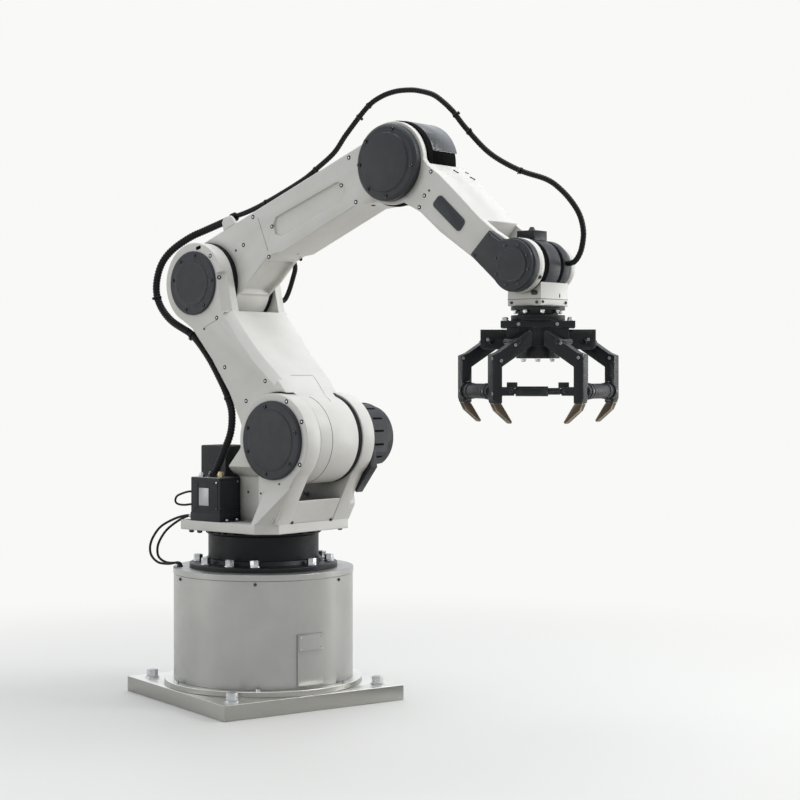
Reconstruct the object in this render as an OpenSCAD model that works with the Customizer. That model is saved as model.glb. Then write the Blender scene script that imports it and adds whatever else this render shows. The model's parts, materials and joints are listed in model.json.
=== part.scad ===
// Six axis industrial robot arm with a two jaw claw gripper.
// Millimetres. Z is up, the arm reaches along X and every pitch axis lies along Y.
// The origin is the centre of the base plate's underside.

/* [Base] */
// Distance the square floor plate reaches past the foot flange
base_margin = 8.5; // [0:0.5:60]
// Thickness of the floor plate
base_t = 55; // [30:1:80]
// Turn of the floor plate and the pedestal about Z
base_turn = -15.4; // [-45:0.1:45]
// Distance of an anchor hole from both plate edges
anchor_inset = 69; // [45:1:110]
// Diameter of an anchor hole
anchor_hole_d = 27; // [16:1:40]
// Width of the foot flange outside the pedestal
foot_rim = 34; // [20:1:60]
// Thickness of the foot flange
foot_t = 20; // [12:1:30]
// Outer diameter of the pedestal shell
pedestal_d = 660; // [560:2:680]
// Wall of the pedestal shell
pedestal_wall = 14; // [8:1:30]
// Height of the pedestal's lid above the floor
lid_top = 480; // [400:5:560]
// Thickness of the lid
lid_t = 22; // [14:1:40]
// Width of the access cover
access_w = 108; // [60:2:160]
// Height of the access cover
access_h = 182; // [100:2:260]
// Height of the access cover's lower edge above the floor
access_z = 84; // [80:1:150]
// Distance the access cover stands out of the shell
access_out = 5; // [3:1:12]

/* [Slewing joint] */
// Diameter of the bolted bearing ring
ring_d = 545; // [460:5:620]
// Height of the bearing ring
ring_h = 34; // [20:1:60]
// Diameter of the slewing drum
drum_d = 407; // [320:1:440]
// Diameter of the bearing bore
bearing_d = 250; // [160:2:320]
// Depth of the drum's spigot in the bearing
spigot_h = 40; // [20:1:60]
// Clearance between pieces that turn on each other
run_gap = 0.4; // [0.3:0.1:1]
// Gap between faces that pass each other
pass_gap = 5; // [4:0.5:10]

/* [Turntable] */
// Height of the turntable plate's underside
table_z = 620; // [580:5:700]
// Thickness of the turntable plate
table_t = 35; // [20:1:60]
// Reach of the turntable plate behind the slewing axis
table_back = 192; // [140:2:260]
// Reach of the turntable plate in front of the slewing axis
table_front = 255; // [200:2:320]
// Half width of the turntable plate
table_half = 245; // [210:1:300]
// Corner cut of the turntable plate
table_cut = 62; // [20:1:90]
// Distance of the near ear's outer face from the middle
ear_out = 198; // [180:1:230]
// Distance of the near ear's inner face from the middle
ear_in = 128; // [110:1:150]
// Distance of the far ear's outer face from the middle
stand_out = 160; // [150:1:200]
// Distance of the far ear's inner face from the middle
stand_in = 97; // [90:1:130]
// Radius of the ears' round tops
ear_r = 166; // [150:1:190]
// Height of the wall between the ears
web_top = 738; // [690:2:780]
// Thickness of the wall between the ears
web_t = 26; // [14:1:50]
// Height of the flare on the near ear's foot
flare_top = 790; // [700:2:800]
// Distance of the far ear's thick foot from the middle
stand_foot_out = 190; // [165:1:230]
// Outer face of the ears' recessed rear feet, from the middle
foot_out = 138; // [132:1:180]
// Inner face of the near ear's recessed rear foot, from the middle
foot_in = 106; // [80:1:120]
// Top of the ears' recessed rear feet
foot_recess_top = 816; // [760:2:840]
// Radius of the shoulder cap
shoulder_cap_r = 140; // [110:1:150]
// Thickness of the shoulder cap
shoulder_cap_t = 17; // [8:1:40]
// Radius of the shoulder motor
shoulder_motor_r = 127; // [90:1:150]
// Length of the shoulder motor
shoulder_motor_l = 170; // [80:2:200]
// Distance of the motor's flat underside below its axis
shoulder_motor_flat = 99; // [70:1:125]

/* [Joint places] */
// Shoulder axis, distance in front of the slewing axis
j2_x = 240; // [180:1:320]
// Shoulder axis, height
j2_z = 954; // [900:1:1000]
// Elbow axis, place along X
j3_x = -200; // [-260:1:-120]
// Elbow axis, height
j3_z = 1524; // [1450:1:1600]
// Upper elbow axis, place along X
j4_x = 713; // [640:1:780]
// Upper elbow axis, height
j4_z = 1906; // [1820:1:1980]
// Wrist axis, place along X, also the tool's axis
j5_x = 1245; // [1180:1:1300]
// Wrist axis, height
j5_z = 1539; // [1480:1:1600]
// Diameter of the shafts in the pitch joints
shaft_d = 110; // [60:1:140]

/* [Lower arm] */
// Radius of the drum at the shoulder
low_drum_r = 160; // [140:1:164]
// Radius of the fork's ears at the elbow
fork_r = 150; // [130:1:160]
// Distance of the lower arm's side faces from the middle
low_half = 165; // [150:1:180]
// Width of the bevel along the arm's front edges
low_bevel = 27; // [10:1:40]
// Distance of the far side face from the middle at the shoulder end
low_far_start = 100; // [90:1:165]
// Distance of the fork's inner faces from the middle
fork_in = 105; // [90:1:120]
// Distance of the fork's floor from the elbow axis
fork_depth = 192; // [170:1:230]
// Front edge of the lower arm's waist from the line of axes
waist_front = 80; // [60:1:110]
// Rear edge of the lower arm's waist from the line of axes
waist_rear = 97; // [70:1:120]
// Radius of the elbow cap
elbow_cap_r = 118; // [90:1:140]
// Thickness of the elbow cap
elbow_cap_t = 11; // [6:1:30]

/* [Upper arm] */
// Radius of the upper arm's hub at the elbow
hub_r = 155; // [140:1:165]
// Distance of the upper arm's side faces from the middle
up_half = 85; // [70:1:98]
// Top edge of the upper arm above the line of axes
up_top = 131; // [100:1:150]
// Lower edge of the upper arm below the line of axes
up_bottom = 50; // [30:1:90]
// Depth of the long recess in the side
recess_depth = 9; // [4:1:15]
// Depth of the pocket in the arm's underside
pocket_depth = 18; // [6:1:30]

/* [Upper elbow] */
// Radius of the forearm's cheek
cheek_r = 142; // [130:1:160]
// Distance of the forearm's near face from the middle
cheek_out = 112; // [100:1:130]
// Distance of the cheek's inner face from the middle
cheek_in = 90; // [80:1:100]
// Radius of the upper arm's round head
head_r = 138; // [120:1:150]
// Distance of the head's near face from the middle
head_near = 62; // [50:1:80]
// Distance of the head's far face from the middle
head_far = 60; // [40:1:80]
// Radius of the boss on the head's far face
head_boss_r = 115; // [80:1:130]
// Radius of the round motor cover
cover_r = 148; // [135:1:155]
// Height of the motor cover's lower edge above the axis
cover_edge = 36; // [0:1:60]
// Radius of the upper elbow's cap
top_cap_r = 132; // [110:1:145]
// Thickness of the upper elbow's cap
top_cap_t = 38; // [15:1:50]

/* [Forearm] */
// Top edge of the forearm above the line of axes
fore_top = 70; // [50:1:90]
// Lower edge of the forearm below the line of axes
fore_bottom = 68; // [50:1:90]
// Radius of the fork's ears at the wrist
wrist_ear_r = 88; // [80:1:110]
// Radius of the far ear at the wrist
far_ear_r = 74; // [60:1:100]
// Distance of the far ear's outer face from the middle
far_ear_out = 108; // [95:1:120]
// Inner face of the near ear at the wrist, from the middle
near_ear_in = 84; // [70:1:95]
// Inner face of the far ear at the wrist, from the middle
far_ear_in = 84; // [70:1:90]
// Distance of the wrist fork's floor from the wrist axis
wrist_fork_depth = 205; // [160:1:260]
// Thickness of the dark wrist cover
wrist_cover_t = 34; // [15:1:45]

/* [Wrist] */
// Radius of the wrist's drum
wrist_drum_r = 85; // [70:1:96]
// Far face of the wrist's drum, from the middle
wrist_drum_far = 9; // [0:1:30]
// Far face of the black ring beside the drum, from the middle
wrist_ring_far = 26; // [12:1:40]
// Far face of the grey disc at the wrist, from the middle
wrist_disc_far = 57; // [45:1:70]
// Half length of the wrist housing along X
wrist_half_x = 66; // [50:1:80]
// Half width of the wrist housing
wrist_half_y = 76; // [60:1:78]
// Underside of the wrist housing
wrist_bottom = 1409; // [1380:1:1430]
// Top of the wrist housing's block
wrist_top = 1497; // [1470:1:1510]
// Side of the motor on the wrist
wrist_motor_side = 70; // [50:1:90]
// Top of the motor on the wrist
wrist_motor_top = 1656; // [1640:1:1700]

/* [Gripper] */
// Turn of the gripper about the tool axis
tool_turn = 35.5; // [-180:1:180]
// Radius of the tool flange
flange_r = 88; // [60:1:100]
// Thickness of the tool flange
flange_t = 13; // [8:1:24]
// Radius of the neck under the tool flange
neck_r = 66; // [40:1:80]
// Height of the neck under the tool flange
neck_h = 16; // [8:1:30]
// Thickness of the grey adapter disc
adapter_t = 19; // [10:1:30]
// Radius of the grey adapter disc
adapter_r = 88; // [70:1:110]
// Width of the gripper's top plate
top_plate_w = 240; // [200:2:320]
// Thickness of the gripper's top plate
top_plate_t = 22; // [12:1:30]
// Depth of the gripper's top plate
top_plate_d = 150; // [100:2:240]
// Distance the far cross bar reaches past the far pivots
bar_over = 11; // [4:1:40]
// Place of the far cross bar's near face from the tool axis
long_bar_y = 76; // [60:1:90]
// Length of the near cross bar
near_bar_w = 200; // [160:2:260]
// Place of the near cross bar's near face from the tool axis
near_bar_y = -62; // [-64:1:-40]
// Thickness of the cross bars
bar_t = 18; // [10:1:30]
// Height of the far cross bar between its lugs
bar_h = 25; // [16:1:40]
// Distance of the bars' lugs below the pivots
bar_drop = 24; // [16:1:32]
// Diameter of the gripper's round lower block
block_d = 142; // [100:1:180]
// Height of the gripper's round lower block
block_h = 40; // [20:1:60]
// Distance of the block's underside below the pivots
block_drop = 54; // [40:1:70]
// Diameter of the column inside the gripper
column_d = 37; // [20:1:60]
// Splay of each jaw's pivot axis
splay = 24; // [0:1:40]
// Place of the near pivots from the tool axis
pivot_x = 72; // [50:1:120]
// Place of the near pivots towards the near side
pivot_y = 110; // [80:1:140]
// Height of the jaw pivots
pivot_z = 1294; // [1270:1:1320]
// Distance between a jaw's two fingers along the pivot axis
finger_gap = 263; // [180:1:320]
// Thickness of a finger along the pivot axis
finger_t = 40; // [20:1:60]
// Width of a finger's upright
finger_w = 34; // [20:1:60]
// Distance of the upright's middle outside the pivot
finger_out = 70; // [50:1:110]
// Height of the claws' points
claw_z = 1030; // [980:1:1060]
// Diameter of the tie between the near fingers
tie_d = 32; // [16:1:50]
// Distance of the tie's pins outside the jaw pivots
tie_out = 25; // [10:1:40]
// Height of the tie rod
tie_z = 1134; // [1110:1:1160]
// Distance from a tie's pin to the end of its bar
tie_neck = 26; // [24:1:34]
// Length of the tie's tube
tie_tube_l = 104; // [90:1:110]
// Length of the tie's rod
tie_rod_l = 98; // [90:1:110]
// Diameter of the tie's rod
tie_rod_d = 22; // [12:1:26]

/* [Boxes and hoses] */
// Size of the junction box along X
box_x = 148; // [90:1:180]
// Size of the junction box along Y
box_y = 105; // [80:1:120]
// Height of the junction box
box_h = 158; // [100:1:200]
// Front of the junction box, place along X
box_front = 17; // [0:1:40]
// Size of the tall drive box along X
drive_x = 130; // [80:1:160]
// Size of the tall drive box along Y
drive_y = 120; // [80:1:160]
// Height of the tall drive box
drive_h = 268; // [200:1:300]
// Diameter of the lower hose
hose_d = 28; // [16:1:36]
// Diameter of the upper hose
thin_hose_d = 19; // [12:1:26]
// Diameter of the thin cables
cable_d = 9; // [5:1:14]

/* [Hidden] */
$fn = 96;
eps = 0.01;
foot_d = pedestal_d + 2 * foot_rim;
base_side = foot_d + 2 * base_margin;
foot_top = base_t + foot_t;
lid_z = lid_top - lid_t;
ring_top = lid_top + ring_h;
table_top = table_z + table_t;
j2 = [j2_x, j2_z];
j3 = [j3_x, j3_z];
j4 = [j4_x, j4_z];
j5 = [j5_x, j5_z];
low_len = norm(j3 - j2);
low_ang = atan2(j3_z - j2_z, j3_x - j2_x);
up_len = norm(j4 - j3);
up_ang = atan2(j4_z - j3_z, j4_x - j3_x);
fore_len = norm(j5 - j4);
fore_ang = atan2(j5_z - j4_z, j5_x - j4_x);
bore_d = shaft_d + 2 * run_gap;
low_drum_out = ear_in - pass_gap;
low_drum_far = stand_in - 17;
hub_half = up_half;
seal_t = fork_in - hub_half - run_gap;
seal_r = cheek_r + 4;
cover_gap = 0.3;
pin_r = 9;
tie_pin_r = 6;
lug_t = 9;
eye_t = finger_t - 2 * lug_t - 2 * run_gap;
lug_r = 14;
seat = 0.3;
plate_z = wrist_bottom - flange_t - neck_h - adapter_t - top_plate_t;
far_pivot_x = pivot_x + finger_gap * sin(splay);
long_bar_w = 2 * (far_pivot_x + bar_over);
long_bar_top = plate_z - 3;
block_z = pivot_z - block_drop;
cable_a = ring_d / 2 + 0.69 * (pedestal_d - ring_d) / 2;
cable_b = ring_d / 2 + 0.54 * (pedestal_d - ring_d) / 2;

// A flat shape drawn in X and Z, standing from y0 to y1
module slab(y0, y1) {
    translate([0, y1, 0])
        rotate([90, 0, 0])
            linear_extrude(height = y1 - y0)
                children();
}

// Moves pieces drawn along an arm to its joint and turns them to its slope
module along(joint, slope) {
    translate([joint[0], 0, joint[1]])
        rotate([0, -slope, 0])
            children();
}

// A cylinder lying along Y from y0 to y1 at a point given in X and Z
module rod_y(point, radius, y0, y1) {
    translate([point[0], y1, point[1]])
        rotate([90, 0, 0])
            cylinder(h = y1 - y0, r = radius);
}

// A round cap lying along Y with a rim, a bevel and a raised disc
module cap_y(point, radius, y0, thick, side) {
    translate([point[0], y0, point[1]])
        rotate([side * 90, 0, 0])
            rotate_extrude()
                polygon([[0, 0], [radius, 0], [radius, thick * 0.6], [radius - thick * 0.3, thick * 0.85],
                    [radius * 0.78, thick * 0.85], [radius * 0.75, thick], [0, thick]]);
}

module base_plate() {
    color("#b5b4af")
        rotate([0, 0, base_turn])
            difference() {
                translate([-base_side / 2, -base_side / 2, 0])
                    cube([base_side, base_side, base_t]);
                for (sx = [-1, 1], sy = [-1, 1])
                    translate([sx * (base_side / 2 - anchor_inset), sy * (base_side / 2 - anchor_inset), -1])
                        cylinder(h = base_t + 2, d = anchor_hole_d);
            }
}

module foot_flange() {
    color("#b5b4af")
        translate([0, 0, base_t])
            difference() {
                cylinder(h = foot_t, d = foot_d);
                translate([0, 0, -1])
                    cylinder(h = foot_t + 2, d = pedestal_d - 2 * pedestal_wall);
            }
}

module pedestal_shell() {
    color("#a3a3a0")
        translate([0, 0, foot_top])
            difference() {
                cylinder(h = lid_z - foot_top, d = pedestal_d);
                translate([0, 0, -1])
                    cylinder(h = lid_z - foot_top + 2, d = pedestal_d - 2 * pedestal_wall);
            }
}

module pedestal_lid() {
    color("#a3a3a0")
        translate([0, 0, lid_z])
            difference() {
                cylinder(h = lid_t, d = pedestal_d + 4);
                translate([0, 0, -1])
                    cylinder(h = lid_t + 2, d = bearing_d);
            }
}

// A plate bent to the pedestal's curve
module access_cover() {
    color("#a09f9b")
        rotate([0, 0, base_turn])
            intersection() {
                difference() {
                    cylinder(h = lid_z, d = pedestal_d + 2 * access_out);
                    translate([0, 0, -1])
                        cylinder(h = lid_z + 2, d = pedestal_d + 0.2);
                }
                translate([0, -access_w / 2, access_z])
                    cube([pedestal_d, access_w, access_h]);
            }
}

module bearing_ring() {
    color("#2a2c30")
        translate([0, 0, lid_top])
            difference() {
                rotate_extrude()
                    polygon([[0, 0], [ring_d / 2, 0], [ring_d / 2, ring_h * 0.45],
                        [ring_d / 2 - 8, ring_h * 0.55], [drum_d / 2 + 14, ring_h * 0.55],
                        [drum_d / 2 + 8, ring_h], [0, ring_h]]);
                translate([0, 0, -1])
                    cylinder(h = ring_h + 2, d = bearing_d);
            }
}

module slew_drum() {
    color("#2a2c30")
        rotate_extrude()
            polygon([[0, ring_top - spigot_h], [bearing_d / 2 - run_gap, ring_top - spigot_h],
                [bearing_d / 2 - run_gap, ring_top + run_gap], [drum_d / 2, ring_top + run_gap],
                [drum_d / 2, table_z - 20], [drum_d / 2 + 9, table_z - 14], [drum_d / 2 + 9, table_z],
                [0, table_z]]);
}

// Outline of one ear of the turntable, drawn in X and Z
module ear_shape() {
    translate(j2)
        circle(r = ear_r);
    polygon([[-30, table_top - 1], [table_front - 1, table_top - 1], [table_front + 71, flare_top - 2],
        [j2_x + ear_r - 8, j2_z - 40], [j2_x, j2_z], [j2_x - ear_r + 4, j2_z - 30], [13, 852], [-28, 790]]);
}

// Outline of the turntable plate
module table_shape() {
    polygon([[-table_back, -table_half + 8], [-table_back + 8, -table_half],
        [table_front - table_cut, -table_half], [table_front, -table_half + table_cut],
        [table_front, table_half - table_cut], [table_front - table_cut, table_half],
        [-table_back + 8, table_half], [-table_back, table_half - 8]]);
}

// Flare from the near ear out to the plate's edge, an upright wedge in front of the boxes
module flare() {
    hull() {
        translate([0, 0, table_top - 1])
            linear_extrude(height = 1)
                polygon([[172, 1 - table_half], [table_front - table_cut, 1 - table_half],
                    [table_front - 1, table_cut - table_half], [table_front - 1, -ear_in - 20], [172, -ear_in - 20]]);
        translate([0, 0, flare_top - 1])
            linear_extrude(height = 1)
                polygon([[204, 1 - ear_out], [table_front + 69, 1 - ear_out], [table_front + 69, -ear_in - 20],
                    [204, -ear_in - 20]]);
    }
}

// Thick foot on the outside of the far ear
module stand_foot() {
    translate([170, 0, 0])
        rotate([90, 0, 90])
            linear_extrude(height = table_front + 30 - 170)
                polygon([[stand_in + 20, table_top - 1], [stand_foot_out, table_top - 1], [stand_foot_out, 730],
                    [stand_out, 812], [stand_in + 20, 812]]);
}

// Cuts the rear foot of an ear back beside the boxes; side is -1 or 1
module foot_cut(side) {
    translate([-table_back, 0, table_top])
        rotate([90, 0, 90])
            linear_extrude(height = table_back + 168)
                polygon([[side * foot_out, 0], [side * (table_half + 1), 0],
                    [side * (table_half + 1), foot_recess_top + 40 - table_top],
                    [side * (ear_out + 1), foot_recess_top + 40 - table_top],
                    [side * foot_out, foot_recess_top - table_top]]);
}

module turntable() {
    color("#cfcec8")
        difference() {
            union() {
                translate([0, 0, table_z])
                    linear_extrude(height = table_t)
                        table_shape();
                difference() {
                    union() {
                        slab(-ear_out, -ear_in)
                            ear_shape();
                        slab(stand_in, stand_out)
                            ear_shape();
                    }
                    for (s = [-1, 1])
                        foot_cut(s);
                }
                slab(-foot_out, -foot_in)
                    polygon([[-30, table_top - 1], [table_front - 10, table_top - 1], [table_front + 10, 700],
                        [table_front, 770], [200, 770], [80, 800], [20, 800]]);
                slab(-ear_in - 1, stand_in + 1)
                    polygon([[table_front - 3 - web_t, table_top - 1], [table_front - 3, table_top - 1],
                        [table_front + 41, web_top], [table_front + 41 - web_t, web_top]]);
                slab(-ear_in - 1, stand_in + 1)
                    polygon([[-25, table_top - 1], [5, table_top - 1], [25, 768], [-5, 768]]);
                flare();
                intersection() {
                    stand_foot();
                    slab(stand_in + 10, stand_foot_out + 1)
                        ear_shape();
                }
            }
            rod_y(j2, shaft_d / 2, -ear_out - 1, stand_out + 1);
        }
}

module shoulder_cap() {
    color("#3f4347")
        cap_y(j2, shoulder_cap_r, -ear_out, shoulder_cap_t, 1);
}

module shoulder_motor() {
    color("#4a4e55")
        difference() {
            translate([j2_x, stand_out, j2_z])
                rotate([-90, 0, 0])
                    rotate_extrude()
                        polygon([[0, 0], [shoulder_motor_r + 8, 0], [shoulder_motor_r + 8, 18],
                            [shoulder_motor_r, 22], [shoulder_motor_r, shoulder_motor_l - 44],
                            [shoulder_motor_r - 12, shoulder_motor_l - 36], [shoulder_motor_r - 12, shoulder_motor_l - 6],
                            [shoulder_motor_r - 18, shoulder_motor_l], [0, shoulder_motor_l]]);
            for (s = [-1, 1])
                translate([j2_x + s * (shoulder_motor_r + 30 - 12) - 30, stand_out + 24, j2_z - 70])
                    cube([60, shoulder_motor_l, 140]);
            translate([j2_x - 200, stand_out + 24, j2_z - shoulder_motor_flat - 60])
                cube([400, shoulder_motor_l, 60]);
        }
}

// Gusset bolted to the far ear's front under the motor
module motor_bracket() {
    color("#3a3d42")
        difference() {
            slab(stand_out + seat, stand_out + 35)
                polygon([[262, 815], [315, 755], [388, 849], [380, 912], [300, 870]]);
            rod_y(j2, shoulder_motor_r + 9, stand_out, stand_out + 40);
            translate([170 - 1, 0, 0])
                rotate([90, 0, 90])
                    linear_extrude(height = table_front + 32 - 170)
                        polygon([[stand_out - 1, 650], [stand_foot_out + 1, 650], [stand_foot_out + 1, 731],
                            [stand_out + seat, 814], [stand_out - 1, 814]]);
        }
}

module shoulder_shaft() {
    color("#5a5c60")
        rod_y(j2, shaft_d / 2, -ear_out, stand_out);
}

// Junction box on the near rear corner of the turntable plate, beside the ear's foot
module junction_box() {
    color("#1d1f21") {
        translate([box_front - box_x, -foot_out - seat - box_y, table_top])
            cube([box_x, box_y, box_h]);
        translate([box_front - box_x - 10, -foot_out - seat - box_y + 16, 700])
            cube([11, 30, 74]);
        translate([box_front - box_x - 14, -foot_out - seat - box_y + 14, 662])
            cube([15, 52, 16]);
    }
}

// Tall box behind the junction box
module drive_box() {
    color("#2e3033")
        translate([-table_back, -foot_out + 3, table_top])
            cube([drive_x, drive_y, drive_h]);
}

// Front edge of the lower arm along its own line of axes, from the drum to the fork
low_front = [[86, -131], [177, -123], [315, -93], [440, -waist_front], [531, -76], [low_len - 60, -fork_r + 14]];

// Side outline of the lower arm along its own line of axes
module low_shape() {
    circle(r = low_drum_r);
    translate([low_len, 0])
        circle(r = fork_r);
    polygon(concat([[0, -low_drum_r]], low_front, [[low_len, -fork_r], [low_len, fork_r], [low_len - 40, fork_r - 6],
        [594, 110], [440, waist_rear], [289, 99], [180, 117], [0, low_drum_r]]));
}

// Bevel along one stretch of the lower arm's front edge, to be taken off; side is -1 or 1
module low_edge_cut(p, q, side) {
    d = q - p;
    translate([p[0], side * low_half, p[1]])
        rotate([0, -atan2(d[1], d[0]), 0])
            rotate([90, 0, 90])
                translate([0, 0, -2])
                    linear_extrude(height = norm(d) + 4)
                        polygon([[side * 8, -8], [-side * (low_bevel + 8), -8], [side * 8, low_bevel + 8]]);
}

module lower_arm() {
    color("#d2d1cb")
        difference() {
            along(j2, low_ang)
                slab(-low_half, low_half)
                    low_shape();
            along(j2, low_ang)
                for (i = [1:len(low_front) - 2], side = [-1, 1])
                    low_edge_cut(low_front[i], low_front[i + 1], side);
            along(j2, low_ang)
                translate([0, 0, -220])
                    linear_extrude(height = 440)
                        polygon([[-220, low_far_start], [100, low_far_start], [594, low_half + 0.5], [594, low_half + 40],
                            [-220, low_half + 40]]);
            rod_y(j2, ear_r + pass_gap, -low_half - 1, -low_drum_out);
            rod_y(j2, ear_r + pass_gap, low_drum_far, low_half + 1);
            along(j2, low_ang)
                slab(-fork_in, fork_in)
                    translate([low_len - fork_depth, -fork_r - 30])
                        square([fork_depth + fork_r + 1, 2 * fork_r + 60]);
            rod_y(j2, bore_d / 2, -low_half - 1, low_half + 1);
            rod_y(j3, shaft_d / 2, -low_half - 1, low_half + 1);
        }
}

module shoulder_seal() {
    color("#141516")
        difference() {
            rod_y(j2, low_drum_r, low_drum_far, stand_in - run_gap);
            rod_y(j2, bore_d / 2, low_drum_far - 1, stand_in + 1);
        }
}

module elbow_caps() {
    color("#3f4347") {
        cap_y(j3, elbow_cap_r, -low_half, elbow_cap_t, 1);
        cap_y(j3, elbow_cap_r, low_half, elbow_cap_t, -1);
    }
}

module elbow_shaft() {
    color("#5a5c60")
        rod_y(j3, shaft_d / 2, -low_half, low_half);
}

// Height of the upper arm's top edge above the line of axes, at a distance from the elbow
function up_edge(u) = hub_r - u * (hub_r - up_top) / up_len;

// Side outline of the upper arm along its own line of axes
module up_shape() {
    circle(r = hub_r);
    translate([up_len, 0])
        circle(r = head_r);
    polygon([[0, hub_r], [up_len, up_top], [up_len, -head_r], [up_len - 120, -84], [765, -up_bottom],
        [385, -up_bottom], [345, -38], [300, -38], [200, -76], [120, -98], [0, 0]]);
}

module upper_arm() {
    color("#d2d1cb")
        difference() {
            along(j3, up_ang)
                slab(-up_half, up_half)
                    up_shape();
            rod_y(j4, seal_r + seat, -up_half - 1, -head_near);
            difference() {
                rod_y(j4, cheek_r + 18, head_far, up_half + 1);
                rod_y(j4, head_boss_r, head_far - 1, up_half + 2);
            }
            rod_y(j3, bore_d / 2, -up_half - 1, up_half + 1);
            rod_y(j4, bore_d / 2, -up_half - 1, up_half + 1);
            along(j3, up_ang) {
                slab(-up_half - 1, -up_half + recess_depth)
                    polygon([[405, 80], [384, 62], [380, 24], [400, 4], [715, -4], [744, 12], [746, 44], [722, 64]]);
                slab(-up_half + 14, up_half - 14)
                    polygon([[125, -130], [132, -95 + pocket_depth], [203, -75 + pocket_depth],
                        [286, -43 + pocket_depth], [296, -42], [310, -130]]);
            }
        }
}

module elbow_seals() {
    color("#141516")
        difference() {
            union() {
                rod_y(j3, hub_r - 3, -fork_in + run_gap, -hub_half);
                rod_y(j3, hub_r - 3, hub_half, fork_in - run_gap);
            }
            rod_y(j3, bore_d / 2, -fork_in - 1, fork_in + 1);
        }
}

module hose_bracket() {
    color("#dedcd6")
        along(j3, up_ang) {
            slab(-up_half + 2, -up_half + 13)
                polygon([[142, up_edge(142) + seat], [210, up_edge(210) + seat], [204, 176], [196, 190], [158, 194],
                    [146, 184]]);
            slab(-up_half + 12, -up_half + 60)
                polygon([[142, up_edge(142) + seat], [210, up_edge(210) + seat], [210, up_edge(210) + 7],
                    [142, up_edge(142) + 7]]);
        }
}

module top_seal() {
    color("#141516")
        difference() {
            rod_y(j4, seal_r, -cheek_in + run_gap, -head_near);
            rod_y(j4, bore_d / 2, -cheek_in - 1, 0);
        }
}

module top_motor_cover() {
    color("#7e838c")
        difference() {
            slab(-head_near + run_gap, head_far + 10)
                translate(j4)
                    intersection() {
                        circle(r = cover_r);
                        translate([-84, cover_edge])
                            square([300, 300]);
                    }
            rod_y(j4, head_r + cover_gap, -head_near - 1, head_far + cover_gap);
            rod_y(j4, head_boss_r + cover_gap, head_far - 1, head_far + 20);
        }
}

// Black band round the front of the head, under the motor cover's edge
module motor_band() {
    color("#141516")
        slab(-head_near + run_gap, head_far)
            translate(j4)
                difference() {
                    intersection() {
                        circle(r = cover_r - 2);
                        translate([60, -72])
                            square([200, 72 + cover_edge - seat]);
                    }
                    circle(r = head_r + cover_gap);
                }
}

// Outline of the far ear at the wrist with its root along the forearm
module far_ear_shape() {
    translate([fore_len, 0])
        circle(r = far_ear_r);
    polygon([[fore_len - 300, 38], [fore_len - 110, 34], [fore_len, far_ear_r - 2], [fore_len, -far_ear_r + 2],
        [fore_len - 90, -66], [fore_len - 260, -60]]);
}

// Side outline of the forearm along its own line of axes
module fore_shape() {
    circle(r = cheek_r);
    polygon([[0, 0], [40, 110], [100, 88], [142, fore_top + 6], [206, fore_top + 5], [318, 61], [430, 45],
        [500, 42], [560, 46], [604, 74], [fore_len, 82], [fore_len, -84], [594, -84], [500, -78], [415, -79],
        [314, -81], [203, -71], [110, -84], [40, -110]]);
    translate([fore_len, 0])
        circle(r = wrist_ear_r);
}

module forearm() {
    color("#d2d1cb")
        difference() {
            union() {
                difference() {
                    along(j4, fore_ang)
                        slab(-cheek_out, far_ear_out)
                            fore_shape();
                    rod_y(j4, cover_r + pass_gap, -cheek_in, far_ear_out + 1);
                    along(j4, fore_ang)
                        slab(far_ear_in, far_ear_out + 2)
                            difference() {
                                translate([-20, -200])
                                    square([fore_len + 150, 400]);
                                far_ear_shape();
                            }
                    along(j4, fore_ang)
                        slab(-near_ear_in, far_ear_in)
                            translate([fore_len - wrist_fork_depth, -160])
                                square([wrist_fork_depth + 160, 320]);
                }
                rod_y(j5, far_ear_r - 10, wrist_disc_far + pass_gap, far_ear_in + 1);
            }
            rod_y(j4, shaft_d / 2, -cheek_out - 1, -cheek_in + 1);
            rod_y(j5, shaft_d / 2, -cheek_out - 1, far_ear_out + 1);
        }
}

module top_cap() {
    color("#3f4347")
        cap_y(j4, top_cap_r, -cheek_out, top_cap_t, 1);
}

module top_shaft() {
    color("#5a5c60")
        rod_y(j4, shaft_d / 2, -cheek_out, up_half);
}

module side_cover() {
    color("#4a504f")
        along(j4, fore_ang)
            slab(-cheek_out - 4, -cheek_out)
                polygon([[245, 24], [235, -23], [384, -40], [388, 6]]);
}

// Outline of the dark cover at the wrist, drawn along the forearm and shrunk by a margin
module cover_shape(margin) {
    translate([fore_len, 0])
        circle(r = wrist_ear_r - margin);
    polygon([[500 + margin, 41 - margin], [558, 42 - margin], [606, 75 - margin], [fore_len, wrist_ear_r - 2 - margin],
        [fore_len, margin - wrist_ear_r + 2], [594, margin - 80], [482 + margin, margin - 68]]);
}

module wrist_cover() {
    color("#3f4347")
        along(j4, fore_ang) {
            slab(-cheek_out - wrist_cover_t * 0.7, -cheek_out)
                cover_shape(1);
            slab(-cheek_out - wrist_cover_t, -cheek_out - 5)
                cover_shape(6);
        }
}

module wrist_shaft() {
    color("#5a5c60")
        rod_y(j5, shaft_d / 2, -cheek_out, far_ear_out);
}

module wrist_housing() {
    color("#d2d1cb")
        difference() {
            union() {
                translate([j5_x - wrist_half_x, -wrist_half_y, wrist_bottom])
                    cube([2 * wrist_half_x, 2 * wrist_half_y, wrist_top - wrist_bottom]);
            }
            rod_y(j5, wrist_drum_r, -wrist_half_y - 1, wrist_half_y + 1);
        }
}

module wrist_drum() {
    color("#7e838c")
        difference() {
            union() {
                rod_y(j5, wrist_drum_r, -55, wrist_drum_far);
                rod_y(j5, wrist_drum_r, wrist_ring_far, wrist_disc_far);
            }
            rod_y(j5, bore_d / 2, -60, far_ear_in + 1);
        }
}

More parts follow.
